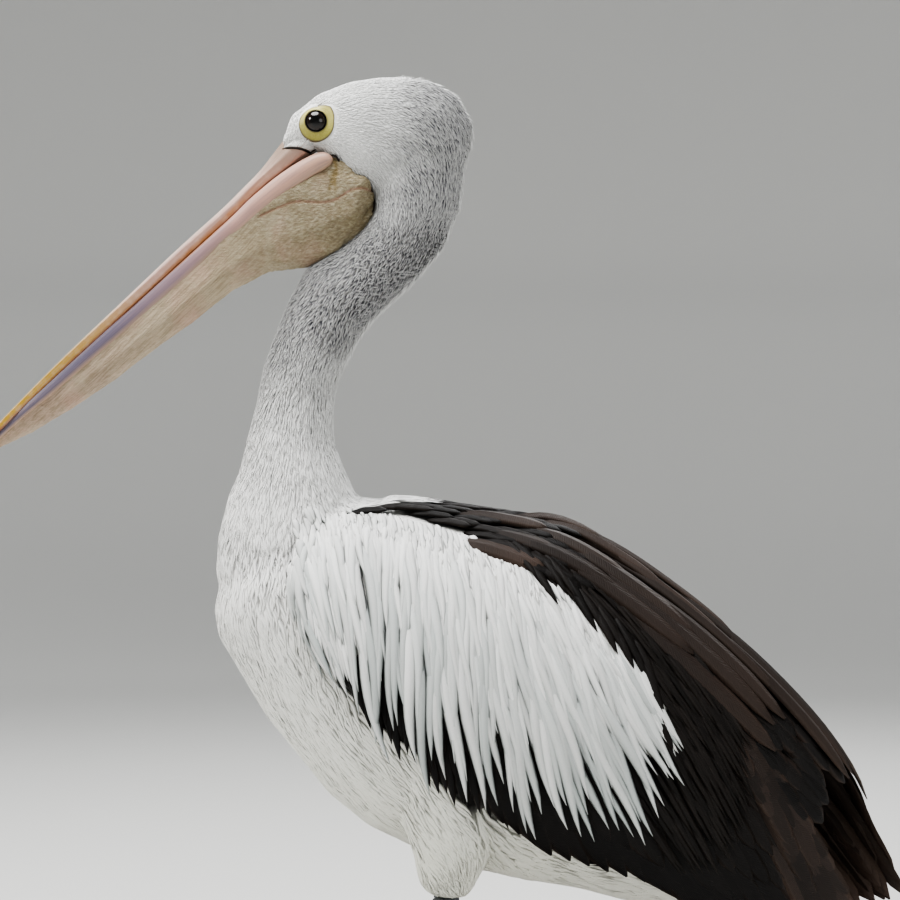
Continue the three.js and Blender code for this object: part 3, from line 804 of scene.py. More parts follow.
def clear_of_eye(points):
    """Which places lie outside the bare ring round the eye."""
    x, _, z = heights(points)
    across, up = x - EYE["x"], z - EYE["z"]
    margin = np.where(across < 0, 3.0, 0.3)
    return np.hypot(across, up) > ring_reach(np.arctan2(up, across)) + margin


def bake_place(roots):
    """Where roots lie on the skin's own unwrap."""
    _, _, triangles = onto(skin_surface, roots)
    mesh = skin_surface["mesh"]
    loops = numbers(mesh.loop_triangles, "loops", 3, np.int32)[triangles]
    unwrap = numbers(mesh.uv_layers["OFBake"].uv, "vector", 2)
    return unwrap[loops].mean(axis=1)


def dress(piece, finish):
    piece.data.materials.clear()
    piece.data.materials.append(finish)
    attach(piece, "root")
    return piece


def small_feathers(name, cell, keep, depth, steps, wobble, lift, finish=white_small,
                   surface=body_surface, lie=body_lie, size=1.0, ridge=0.5,
                   stray=0.14, turn=2.6, tone=None):
    """A tract of small feathers on a form: keep(points) says where it grows."""
    roots, normals, _ = onto(surface, scatter(surface, cell * MM, keep))
    if surface is body_surface:
        seen = ~hidden_by_wings(roots, normals)
        roots = roots[seen]
    x, _, z = heights(roots)
    count = len(roots)
    sizes = small_size_field(x, z) * size
    lengths = sizes[:, 0] * MM * rng.uniform(0.8, 1.2, count)
    ways = lie(roots) + rng.normal(0, stray, (count, 3))
    phase = x / 11 + z / 19 + rng.normal(0, 0.6, count)
    lines, ups = paths_on(surface, roots, ways, lengths, steps, lie, 0.75, wobble, phase, turn)
    share = np.linspace(0, 1, steps)
    tip_lift = rng.uniform(-0.3, 1.0, count)[:, None] * lift
    rise = tip_lift * share**1.5 - depth * (1 - share) ** 1.4
    lines += ups * (rise * MM)[:, :, None]
    widths = sizes[:, 1:] * MM * np.interp(share, *OUTLINES["tuft"]) * rng.uniform(0.8, 1.2, (count, 1))
    dark = greyness(roots) if tone is None else np.full(count, tone)
    dark = np.clip(dark * rng.uniform(0.6, 1.4, count), 0, 1)
    chance = rng.random(count)
    bake = bake_place(roots)
    pieces = math.ceil(count / (PIECE_TRIANGLES // (6 * (steps - 1) + 2)))
    order = np.argsort(z)
    for number in range(pieces):
        part = order[number * count // pieces:(number + 1) * count // pieces]
        part_name = name if pieces == 1 else "%s_%d" % (name, number + 1)
        mesh = vane_mesh(part_name, lines[part], ups[part], widths[part], TUFT, widths[part] * ridge, 0.0,
                         (dark[part], chance[part]), bake[part])
        dress(add_object(part_name, mesh), finish)


def slanted(angles):
    """Lies along the side: [x, degrees below level] from front to rear."""
    angles = np.asarray(angles, float)

    def lie(points):
        x, _, _ = heights(points)
        slope = np.radians(np.interp(x, angles[:, 0], angles[:, 1]))
        return np.stack([np.cos(slope), np.zeros(len(x)), -np.sin(slope)], axis=-1)

    return lie


def from_side(surface, x, z, side, beyond=100):
    """The places on a surface that a level line from one side meets first, or points beyond it."""
    starts = spots(x, z, side * 400)
    found = spots(x, z, side * beyond)
    for i, start in enumerate(starts.tolist()):
        hit = surface["tree"].ray_cast(start, (0, -side, 0), 0.4)[0]
        if hit is not None:
            found[i] = hit
    return found


def feathers(kind, tips, lengths, halves, rise, mark=0.0, stray=0.05, wobble=0.0, lie=None, name=None):
    """Lays feathers of a kind back from their tips. Rise is their height in mm at stages from the root."""
    usual_lie, steps, section, shape, camber, thick, finish, slot = KINDS[kind]
    lie = lie or usual_lie
    count = len(tips)
    jitter = rng.normal(0, stray, (count, 3))
    phase = rng.uniform(0, 2 * math.pi, count)
    lines, ups = paths_on(wing_surface, tips, jitter - lie(tips), lengths * MM, steps,
                          lambda points: -lie(points), 0.7, wobble, phase, 0.55)
    lines, ups = lines[:, ::-1], ups[:, ::-1]
    share = np.linspace(0, 1, steps)
    stages = np.atleast_2d(np.asarray(rise, float))
    lifted = np.stack([np.interp(share, np.linspace(0, 1, stages.shape[1]), row) for row in stages])
    lifted = lifted + rng.normal(0, 0.25, (count, 1))
    lines = lines + ups * (lifted * MM)[:, :, None]
    widths = np.reshape(halves, (-1, 1)) * MM * np.interp(share, *OUTLINES[shape])
    thickness = np.broadcast_to(thick * MM * (1.1 - share), (count, steps))
    plume = (np.clip(mark + rng.normal(0, 0.04, count), 0, 1), rng.random(count))
    mesh = vane_mesh(name or kind, lines, ups, widths, section, thickness, camber, plume,
                     bake_place(lines[:, 0]))
    return dress(add_object(name or kind, mesh), finish)


# ---- The skin under the coat --------------------------------------------------------------------


def finish_skin():
    """Sinks the skin under the coat, unwraps it, and marks it as the coat is marked."""
    places = vertices_of(skin.data)
    normals = numbers(skin.data.vertex_normals, "vector", 3).astype(float)
    edges = numbers(skin.data.edges, "vertices", 2, np.int32)
    x, y, z = heights(places)

    def softened(values, rounds):
        for _ in range(rounds):
            values = averaged(values[:, None], edges)[:, 0]
        return values

    nearest = covering_wings["tree"].find_nearest
    winged = np.array([nearest(point)[3] < 6 * MM for point in places.tolist()])
    top, low = line_at(PANEL_TOP, x), line_at(PANEL_TIPS, x)
    white_share = np.interp(x, [-110, -80, -20, 200], [1.05, 0.72, 0.60, 0.50])
    white_part = (x < 200) & (z < top + 4) & (z > top - white_share * (top - low))
    # Skin under the panel stays white only where it faces outward, or towards the front.
    white_part &= (np.sign(y) * normals[:, 1] > 0.3) | (x < -100)
    depth = np.interp(z, [500, 600, 780, 860], [1.7, 1.7, 1.4, 0.9])
    depth = softened(np.where(winged, np.where(white_part, 2.8, 7.5), depth), 6)
    move_vertices(skin.data, places - normals * (depth * MM)[:, None])
    coat = greyness(places) * 0.8
    # Black under the black coverts, and painted shade on the inner faces in the gap between wing and body.
    dark = np.where(winged & ~white_part & ((z <= 520) | (x >= -50)), 1.0, coat)
    # Painted shadow on the bare skin behind the gape and round the pouch's rear.
    dark = np.where(inside(BARE_FACE, x, z) & (x > -122) & (z < 896), 0.8, dark)
    paint(skin.data, "plume", softened(dark, 2), 0.5, 0.5)
    with edit_mode(skin):
        bpy.ops.uv.smart_project(angle_limit=math.radians(66), island_margin=0.002)
    skin.data.uv_layers[0].name = "OFBake"
    skin.data.shade_smooth()
    finish = Finish("downy_skin", Roughness=0.85)
    down = finish.noise(420, detail=5)
    light = finish.blend(down, rgb(0.70, 0.70, 0.68), rgb(0.84, 0.84, 0.82))
    # Painted shade on the lower belly.
    light = finish.blend(belly_shade_amount(finish), light, BELLY_SHADE)
    dark_down = finish.blend(down, rgb(0.006, 0.005, 0.005), rgb(0.016, 0.013, 0.012))
    colour = finish.blend(finish.parts("plume")[0], light, dark_down)
    finish.shade(Base_Color=colour, Normal=finish.bump(down, 0.6, 0.001))
    dress(skin, finish.material)
    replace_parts(skin, *FLESH)


finish_skin()
skin_surface = surface_of(skin)


# ---- The small feathers of the body ---------------------------------------------------------------


def grows(points):
    """Where the body has feathers at all."""
    x, _, z = heights(points)
    by_pouch = distance_to(FACE_EDGE[8:13], x, z) < 2.8
    return ~inside(BARE_FACE, x, z) & ~by_pouch & clear_of_eye(points) & (z > 150)


def ragged(points, spread):
    """Heights with an uneven edge, so that tracts run into each other."""
    return heights(points)[2] + rng.normal(0, spread, len(points))


def on_head(points):
    return grows(points) & (ragged(points, 8) > 835)


def on_nape(points):
    """The outline of the crown, nape and hind neck, where pale hairy tips stand out."""
    x, y, z = heights(points)
    return (distance_to(NAPE_LINE, x, z) < 16) & (np.abs(y) < 9) & grows(points)


def on_upper_neck(points):
    return grows(points) & (np.abs(ragged(points, 8) - 757) < 78)


def on_lower_neck(points):
    return grows(points) & (np.abs(ragged(points, 10) - 614) < 65)


def on_thigh(points):
    x, y, z = heights(points)
    return (z > 160) & (z < 245) & (np.abs(x + 2) < 62) & (np.abs(y) > 25) & (z < 250 - np.abs(x) * 0.4)


def on_breast(points):
    x, _, z = heights(points)
    return grows(points) & (ragged(points, 10) < 556) & (x < -95) & (z > 240)


def on_belly(points):
    x, _, z = heights(points)
    return grows(points) & (z < 548) & (x >= -95) & (x < 290) & ~on_thigh(points)


def on_rump(points):
    """The white rump, seen from behind between the folded wings."""
    x, _, z = heights(points)
    return (x >= 286) & (z > 150) & (z < 400)


def on_mantle(points):
    x, y, z = heights(points)
    return (z > 480) & (x > -100) & (x < -38) & (np.abs(y) < 30 - 0.25 * (x + 60))


def between_shoulders(points):
    x, y, z = heights(points)
    return (z > 480) & (x > -46) & (x < 44) & (np.abs(y) < 24)


def on_shoulder_edge(points):
    """Over the roots of the coverts, along the panel's upper edge."""
    x, y, z = heights(points)
    below = panel_heights(x, 0.0) - z
    above = np.interp(x, [-150, -120, -80, -40], [-9, -5, 2, -2])
    return (x > -148) & (x < 196) & (np.abs(y) > 40) & (below > -above) & (below < 30)


# Degrees below level that the feathers point along each side, from front to rear: [x, degrees].
PANEL_LIE = slanted([
    [-156, 76], [-135, 70], [-110, 72], [-80, 80], [-50, 86], [0, 86], [50, 82], [100, 76], [150, 69],
    [200, 62], [300, 56], [400, 50],
])
BACK_LIE = slanted([[-60, 8], [0, 20], [60, 25], [120, 31], [200, 38], [300, 44], [400, 46]])
NOTCH_LIE = slanted([[80, 66], [220, 72]])
HAIRY_LIE = slanted([[0, 58], [100, 58], [200, 58], [260, 60], [300, 62]])

small_feathers("head_feathers", 2.0, on_head, 1.5, 4, 0.0, 0.3, ridge=0.55)
small_feathers("nape_fringe", 4.6, on_nape, 1.5, 5, 0.15, 3.4, stray=0.3, size=1.1, tone=0.12)
small_feathers("upper_neck_feathers", 2.35, on_upper_neck, 2.0, 5, 0.5, 0.8,
               stray=0.24, size=0.7)
small_feathers("lower_neck_feathers", 3.3, on_lower_neck, 1.7, 6, 0.35, 0.3, ridge=0.24, stray=0.08,
               turn=1.6)
small_feathers("breast_feathers", 6.0, on_breast, 1.7, 10, 0.26, 0.25, ridge=0.24, stray=0.05, turn=0.9)
small_feathers("belly_feathers", 6.8, on_belly, 1.8, 9, 0.22, 0.3, ridge=0.24, stray=0.07, turn=0.9)
small_feathers("thigh_feathers", 4.8, on_thigh, 2.6, 6, 0.5, 1.6)


# ---- The folded wings -----------------------------------------------------------------------------

# The kinds of feather on the folded wings: how they lie, points along each, cross-section,
# outline, camber, thickness in mm, finish and slot.
KINDS = {
    "long_coverts": (PANEL_LIE, 11, SLIM_VANE, "spear", 0.72, 0.5, white_vanes, "plumage_white"),
    "short_coverts": (PANEL_LIE, 7, SLIM_VANE, "spear", 0.4, 0.3, white_vanes, "plumage_white"),
    "black_coverts": (PANEL_LIE, 8, SLIM_VANE, "spear", 0.2, 0.5, black_vanes, "plumage_black"),
    "flight_feathers": (PANEL_LIE, 12, BROAD_VANE, "blade", 0.14, 0.6, black_vanes, "plumage_black"),
    "rear_feathers": (HAIRY_LIE, 12, BROAD_VANE, "blade", 0.14, 0.6, brown_vanes, "plumage_black"),
    "hairy_coverts": (HAIRY_LIE, 8, SLIM_VANE, "spear", 0.35, 0.5, black_vanes, "plumage_black"),
    "notch_feathers": (NOTCH_LIE, 8, SLIM_VANE, "spear", 0.3, 0.5, black_vanes, "plumage_black"),
    "rump_feathers": (BACK_LIE, 9, BROAD_VANE, "strap", 0.22, 0.7, brown_vanes, "plumage_black"),
    "shoulder_feathers": (BACK_LIE, 7, SLIM_VANE, "blade", 0.25, 0.5, black_vanes, "plumage_black"),
    "back_plumage": (BACK_LIE, 14, BROAD_VANE, "strap", 0.34, 0.8, brown_vanes, "plumage_black"),
}
# Rows of tips down the white panel, as shares of the way from its upper edge to its lowest tips.
PANEL_ROWS = [0.20, 0.28, 0.36, 0.45, 0.55, 0.66, 0.78, 0.89, 1.0]
SHOULDER_ROWS = [0.07, 0.12, 0.17, 0.22, 0.27, 0.32]


def panel_heights(x, share):
    """Heights on the white panel: share is 0 at its upper edge and 1 at its lowest tips."""
    top = line_at(PANEL_TOP, x)
    return top - (top - line_at(PANEL_TIPS, x)) * share


# Feathers that start too high are made shorter by this much at a time, up to this often.
SHORTER = 0.93
SHORTENINGS = 24


def roots_kept(x, z, length, over):
    """Shortens feathers until their roots lie no more than this far over the panel's upper edge."""
    slope = np.radians(np.interp(x, [-150, 0, 100, 200], [74, 86, 76, 62]))
    for _ in range(SHORTENINGS):
        root_x, root_z = x - np.cos(slope) * length, z + np.sin(slope) * length
        past = root_z > line_at(PANEL_TOP, root_x) + over
        length = np.where(past, length * SHORTER, length)
    return length


def panel_tips():
    """Tips of the white coverts row by row: x, z, share down the panel, length."""
    rows = []
    for number, share in enumerate(PANEL_ROWS):
        step = np.interp(share, [0, 0.5, 0.85, 1], [9.0, 10.0, 11.0, 13.0])
        x = np.arange(-150, 222, step) + number % 2 * step / 2
        x = x + rng.uniform(-0.25, 0.25, len(x)) * step
        z = panel_heights(x, share) + rng.normal(0, 1, len(x)) * np.interp(share, [0, 0.5, 1], [5, 9, 11])
        length = np.interp(share, [0.2, 0.5, 1], [62, 118, 165]) * rng.uniform(0.88, 1.12, len(x))
        length = roots_kept(x, z, length, np.where(x > 60, 10, -2))
        rows.append(np.stack([x, z, np.full(len(x), share), length], -1)[length > 26])
    return np.concatenate(rows)


def shoulder_tips():
    """Tips of the short soft feathers over the top and front of the panel: x, z, length."""
    rows = []
    for share in SHOULDER_ROWS:
        x = np.arange(-152, 208, 5.0)
        x = x + rng.uniform(-0.4, 0.4, len(x)) * 5
        z = panel_heights(x, share) + rng.normal(0, 4, len(x))
        length = roots_kept(x, z, rng.uniform(42, 60, len(x)), 14)
        rows.append(np.stack([x, z, length], -1)[length > 18])
    x = np.repeat(np.arange(-152.0, -104.0, 6.0), 9)
    share = np.tile(np.linspace(0.36, 0.78, 9), len(x) // 9)
    z = panel_heights(x, share) + rng.normal(0, 5, len(x))
    length = roots_kept(x, z, rng.uniform(42, 60, len(x)), 0)
    rows.append(np.stack([x + rng.normal(0, 2, len(x)), z, length], -1)[length > 14])
    for lift, end in ((-2, 6), (10, 6), (22, 6), (36, 7)):
        x, z = along_line(PANEL_TIPS[:end], 4.6)
        z = z + lift + rng.normal(0, 3, len(x))
        length = roots_kept(x + lift * 0.3, z, rng.uniform(40, 58, len(x)), 0)
        rows.append(np.stack([x + lift * 0.3, z, length], -1)[length > 14])
    return np.concatenate(rows)


def front_swell(x):
    """How much the coverts stand up towards the bend of the wing, in mm."""
    return np.interp(x, [-156, -118], [2.8, 0.0])


def white_panel(side_name, side):
    x, z, share, length = panel_tips().T
    count = len(x)
    tips = from_side(wing_surface, x, z, side)
    halves = np.interp(share, [0.2, 0.5, 1], [4.2, 5.3, 6.0]) * rng.uniform(0.8, 1.2, count)
    middle = rng.normal(-0.6, 0.7, count)
    tip = np.interp(share, [0.2, 0.45, 0.8], [0.2, 0.9, 1.2]) + rng.normal(0, 0.5, count)
    rise = np.stack([np.full(count, -4.6), middle - 1.2, middle - 0.3, middle + 0.3, tip], -1)
    rise += front_swell(x)[:, None]
    # Darker down the panel: painted shade on the lower coverts, varied at random from feather to feather.
    dark = np.interp(share, [0.2, 0.6, 1], [0.05, 0.45, 0.75]) * rng.uniform(0.2, 1.8, count)
    long_ones = feathers("long_coverts", tips, length, halves, rise, dark, stray=0.09, wobble=0.06)
    x, z, length = shoulder_tips().T
    tips = from_side(wing_surface, x, z, side)
    rise = np.array([[-4.4, -1.2, -0.2, 0.3]]) + front_swell(x)[:, None]
    short_ones = feathers("short_coverts", tips, length, np.full(len(x), 3.6), rise, stray=0.08)
    piece = joined("white_coverts_" + side_name, [long_ones, short_ones])
    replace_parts(piece, "wing_coverts_" + side_name)


def lattice(edge, across, down):
    """Jittered places in side view inside an outline."""
    edge = np.asarray(edge, float)
    low, high = edge.min(axis=0), edge.max(axis=0)
    x, z = np.meshgrid(np.arange(low[0], high[0], across), np.arange(low[1], high[1], down))
    x = x + (np.arange(x.shape[0]) % 2)[:, None] * across / 2
    x = x + rng.normal(0, across * 0.18, x.shape)
    z = z + rng.normal(0, down * 0.18, z.shape)
    kept = inside(edge, x.ravel(), z.ravel())
    return x.ravel()[kept], z.ravel()[kept]


def along_line(points, spacing):
    """Points spaced evenly along a side-view line."""
    points = np.asarray(points, float)
    steps = np.linalg.norm(np.diff(points, axis=0), axis=1)
    travelled = np.concatenate([[0], np.cumsum(steps)])
    at = np.arange(0, travelled[-1], spacing)
    return np.interp(at, travelled, points[:, 0]), np.interp(at, travelled, points[:, 1])


FLIGHT_TIPS = [[50, 240], [97, 206], [138, 195], [190, 181], [228, 160], [292, 128], [352, 104], [412, 84]]
REAR_TIPS = {
    "left": [[412, 84], [410, 118], [388, 164], [362, 211], [338, 253], [325, 278], [300, 318]],
    "right": [[404, 84], [402, 122], [446, 146], [489, 158], [470, 188], [455, 208], [430, 248], [414, 270],
              [390, 302], [360, 330]],
}
# The line on each side where the back feathers end over the wing.
BACK_EDGE = [
    [-70, 545], [-30, 535], [30, 512], [106, 480], [145, 460], [184, 440], [222, 412], [251, 388],
    [275, 350], [292, 312], [325, 278], [366, 285], [400, 260], [480, 180],
]
# Where the slim dark coverts grow behind the white panel.
HAIRY_PART = [
    [60, 500], [106, 482], [145, 462], [184, 443], [222, 415], [251, 391], [271, 358], [292, 320],
    [296, 280], [292, 240], [270, 200], [240, 180], [214, 196], [216, 250], [224, 296], [212, 338],
    [196, 372], [166, 410], [128, 443], [86, 476],
]
# Where black feathers with pointed tips overlap the panel's upper edge.
NOTCHED_EDGE = [
    [84, 482], [112, 458], [134, 438], [160, 416], [178, 394], [196, 368], [206, 340], [213, 316],
]
# The broad blunt feathers over the rump, seen between the wings.
RUMP_PATCH = [
    [262, 380], [300, 372], [345, 342], [392, 292], [398, 262], [372, 238], [350, 222], [322, 250],
    [300, 290], [276, 340],
]
# Where the short black feathers of the shoulder grow above the panel.
SHOULDER_PATCH = [
    [-74, 539], [-50, 548], [10, 552], [60, 548], [130, 520], [160, 470], [134, 450], [91, 481], [59, 505],
    [23, 520], [-29, 534],
]


def dark_wing(side_name, side):
    """The dark feathers of a folded wing, from the ones that lie deepest to those on top."""
    parts = []

    def add(kind, x, z, length, half, rise, mark, lie=None):
        lengths = length * rng.uniform(0.9, 1.1, len(x))
        tips = from_side(wing_surface, x, z, side)
        parts.append(feathers(kind, tips, lengths, np.full(len(x), half), rise, mark, lie=lie))

    for row, lift in enumerate((0, 16, 34)):
        x, z = along_line(BLACK_TIPS, 10)
        z = z + lift + rng.normal(0, 4, len(z))
        add("black_coverts", x + row * 3, z, 78, 5.6, (-9.5, -5.6), 0.1)
    for row, shift in enumerate([(0, 0), (-16, 34), (-32, 70), (-48, 108)]):
        x, z = along_line(np.add(FLIGHT_TIPS, shift), 19)
        add("flight_feathers", x, z, 200 - 18 * row, 13.0 - 1.4 * row, (-12, -7, row - 6.0),
            0.1 + 0.1 * row)
    for row, shift in enumerate([(0, 0), (-26, 20), (-54, 44)]):
        x, z = along_line(np.add(REAR_TIPS[side_name], shift), 15)
        # The right wing's rear feathers take a lighter brown than the left's: painted light on the far wing
        # where it shows, in shade, between the wings.
        add("rear_feathers", x, z, 190, 13.5 - row, (-9, -4.5, row - 3.5), 0.2 if side < 0 else 0.6,
            HAIRY_LIE if row else BACK_LIE)
    add("hairy_coverts", *lattice(HAIRY_PART, 7.5, 13), 88, 3.4, (-5.5, -0.4, 0.5), 0.6)
    x, z = along_line(NOTCHED_EDGE, 12.5)
    add("notch_feathers", x, z + rng.normal(0, 7, len(z)), 56, 5.0, (-0.5, 1.8, 1.6), 0.4)
    add("rump_feathers", *lattice(RUMP_PATCH, 19, 17), 66, 12.5, (-9.5, -5.0, -3.6), 0.0)
    add("shoulder_feathers", *lattice(SHOULDER_PATCH, 13, 13), 48, 6.5, (-4.0, 0.2, 0.9), 0.3)
    piece = joined("dark_wing_" + side_name, parts)
    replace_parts(piece, "wing_feathers_" + side_name)


# Rows of long back feathers: share of the back's line at their tips, length, how far round they reach.
BACK_ROWS = [[0.40, 95, 52], [0.49, 150, 56], [0.58, 210, 58], [0.68, 260, 60], [0.77, 270, 60],
             [0.85, 230, 56], [0.92, 190, 50]]

# Tips on the back are found this far out from its line, in mm.
BACK_REACH = 150


def back_tips():
    """Tips of the long back feathers: share along the back's line, turn from its top, length."""
    rows = []
    for number, (share, length, reach) in enumerate(BACK_ROWS):
        for turn in np.arange(3.5 + 4.5 * (number % 2), reach, 9.0):
            rows.append([share + rng.normal(0, 0.014) - turn * 0.0009, turn + rng.normal(0, 1.0),
                         length * rng.uniform(0.92, 1.08)])
    return np.array(rows)


def back(side_name, side):
    share, turn, length = back_tips().T
    line, ahead = (curve_through(PLUMAGE_LINE, np.clip(at, 0, 1))[:, :2] for at in (share, share + 0.01))
    way = unit(ahead - line)
    up = np.cos(np.radians(turn)) * BACK_REACH
    out = np.sin(np.radians(turn)) * BACK_REACH
    above = spots(line[:, 0] - way[:, 1] * up, line[:, 1] + way[:, 0] * up, side * out)
    tips, _, _ = onto(wing_surface, above)
    x, _, z = heights(tips)
    kept = z > line_at(BACK_EDGE, x)
    tips, length, turn = tips[kept], length[kept], turn[kept]
    low = (turn - 25) * 0.02
    middle = rng.normal(-0.4, 0.5, len(low)) - low
    rise = np.stack([np.full(len(low), -7.5), middle - 1.2, middle, middle + 0.6], -1)
    halves = rng.uniform(11.0, 14.0, len(length))
    piece = feathers("back_plumage", tips, length, halves, rise, 0.3, name="back_plumage_" + side_name)
    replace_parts(piece, "back_feathers_" + side_name)


for side_name, side in SIDES.items():
    white_panel(side_name, side)
    dark_wing(side_name, side)
    back(side_name, side)
small_feathers("shoulder_blend", 3.8, on_shoulder_edge, 1.0, 6, 0.08, 1.2, surface=wing_surface,
               lie=PANEL_LIE, ridge=0.14, stray=0.05, size=0.85, turn=0.9, tone=0.0)
small_feathers("mantle_feathers", 6.5, on_mantle, 2.6, 6, 0.1, 0.6, surface=wing_surface, lie=BACK_LIE,
               ridge=0.35)


# ---- The tail ---------------------------------------------------------------------------------------

# The tail's root, length and half width of a feather in mm, its slope and fan in degrees.
TAIL = {"x": 262, "z": 186, "length": 182, "slope": 36, "feathers": 12, "spread": 30, "half": 14}


def make_tail():
    count = TAIL["feathers"] * 2
    turn = np.tile(np.linspace(-1, 1, TAIL["feathers"]), 2) + np.repeat([0, 0.04], TAIL["feathers"])
    level = np.repeat([0, 1.6], TAIL["feathers"])
    length = np.repeat([1.0, 0.72], TAIL["feathers"]) * (TAIL["length"] - 26 * turn**2)
    share = np.linspace(0, 1, 12)
    yaw = np.radians(TAIL["spread"] / 2 * turn)[:, None]
    reach = length[:, None] * share
    ahead, aside = reach * np.cos(yaw), reach * np.sin(yaw)
    lift = level[:, None] - 1.2 * np.abs(turn)[:, None] - 6 * share**2
    slope = math.radians(TAIL["slope"])
    x = TAIL["x"] + ahead * math.cos(slope) + lift * math.sin(slope)
    z = TAIL["z"] - ahead * math.sin(slope) + lift * math.cos(slope)
    lines = spots(x, z, aside)
    tilt = np.radians(12 * turn)
    up = np.stack([math.sin(slope) * np.cos(tilt), np.sin(tilt), math.cos(slope) * np.cos(tilt)], -1)
    ups = np.broadcast_to(up[:, None], lines.shape)
    widths = np.full((count, 1), TAIL["half"] * MM) * np.interp(share, *OUTLINES["blade"])
    thickness = np.broadcast_to(0.7 * MM * (1.1 - share), (count, 12))
    plume = (np.full(count, 0.3), rng.random(count))
    mesh = vane_mesh("tail_feathers", lines, ups, widths, BROAD_VANE, thickness, 0.10, plume,
                     bake_place(lines[:, 0]))
    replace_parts(dress(add_object("tail_feathers", mesh), brown_vanes), "tail")


make_tail()


# ---- Bill and pouch ---------------------------------------------------------------------------------

# Stations of the bill: [x, z, y, up, down, half width].
UPPER_BILL = [
    [-456, 617, 0, 2.6, 3.4, 20], [-449, 624, 0, 2.8, 5.0, 20], [-391, 683, 0, 2.8, 7.4, 20],
    [-318, 751, 0, 3.6, 7.8, 17.6], [-267, 798, 0, 4.3, 8.2, 17], [-225, 835, 0, 4.8, 8.2, 17],
    [-202, 857, 0, 5.2, 8.2, 17], [-183, 874, 0, 6.6, 8.4, 18.5], [-156, 897, 0, 12, 11, 22],
    [-140, 909, 0, 12, 11, 22],
]
NAIL = [
    [-486, 571, 0, 1.2, 1.6, 2.5], [-487, 579, 0, 3.4, 3.2, 5.0], [-484, 590, 0, 4.2, 3.6, 8.5],
    [-470, 604, 0, 3.8, 3.2, 14], [-450, 623, 0, 3.0, 2.6, 20.3],
]
JAW = [
    [-474, 598, 0, 2.4, 2.2, 3.5], [-460, 605, 8.5, 3.2, 2.4, 3.5], [-425, 636, 16, 5.2, 3.6, 3.5],
    [-396, 661, 17, 6.6, 4.8, 3.5], [-340, 711, 15.4, 8.2, 6.2, 3.5], [-309, 738, 14.2, 8.4, 6.4, 3.6],
    [-270, 773, 14.2, 8.6, 7.2, 3.7], [-229, 811, 15.5, 7.4, 7.2, 4.2], [-209, 827, 17.2, 8.8, 8.4, 5],
    [-189, 844.5, 19.8, 9.8, 9.6, 6], [-160, 866, 22, 11, 10.5, 7], [-132, 884, 24, 9.5, 9.5, 8],
    [-116, 889, 25, 6, 6, 7],
]
CHEEKS = [
    [-142, 864, 0, 6, 10, 20], [-127, 871, 0, 24, 12, 26], [-113, 868, 0, 38, 14, 27.5],
    [-99, 860, 0, 26, 12, 27], [-87, 850, 0, 16, 10, 24], [-79, 841, 0, 5, 6, 15],
]
# Where the rear of the pouch closes against the neck.
POUCH_REAR = [
    [-79, 844, 0, 4, 4, 13], [-80, 836, 0, 5, 5, 15], [-86, 827, 0, 5.5, 5.5, 15],
    [-96, 815.5, 0, 5.5, 5.5, 14], [-108, 804.5, 0, 4, 4, 9],
]
# The rear end of the pouch in side view, and the bill's slope from there: forward and down.
POUCH_END = (-74, 866)
BILL_WAY = (0.72, 0.69)
BILL_SLOPE = math.radians(43.8)
# The fold that runs back from under the jaw to the gape, in side view.
RED_FOLD = [
    [-188, 832], [-170, 840], [-152, 846], [-128, 845], [-113, 848], [-100, 856], [-88, 859], [-79, 857],
]
# The short folds that hang from the corner of the gape.
GAPE_FOLDS = [
    [[-115, 889], [-113, 880], [-116, 870], [-119, 858]],
    [[-112, 876], [-114, 866], [-113, 859]],
]


def bands(finish, value, stops):
    """A colour for each level of a value: stops are [level, colour]."""
    ramp = finish.add("ValToRGB", {"Fac": value})
    while len(ramp.color_ramp.elements) < len(stops):
        ramp.color_ramp.elements.new(0.5)
    for element, (level, colour) in zip(ramp.color_ramp.elements, stops):
        element.position = level
        element.color = colour
    return ramp.outputs["Color"]


def round_and_along(finish):
    """How far round a lofted piece from its top, 0 to 1, and how far along it, 0 to 1."""
    u, v = finish.axes(finish.uv())[:2]
    out = finish.math("ABSOLUTE", finish.minus(u, 0.5))
    return finish.minus(1.0, finish.times(out, 2.0)), v


def streaks(finish, across, along):
    """Fine lines that run the length of a lofted piece."""
    at = finish.add("Mapping", {"Vector": finish.uv(), "Scale": (across, along, 1)}).outputs[0]
    return finish.add("TexNoise", {"Vector": at, "Scale": 1.0, "Detail": 5.0}).outputs["Fac"]


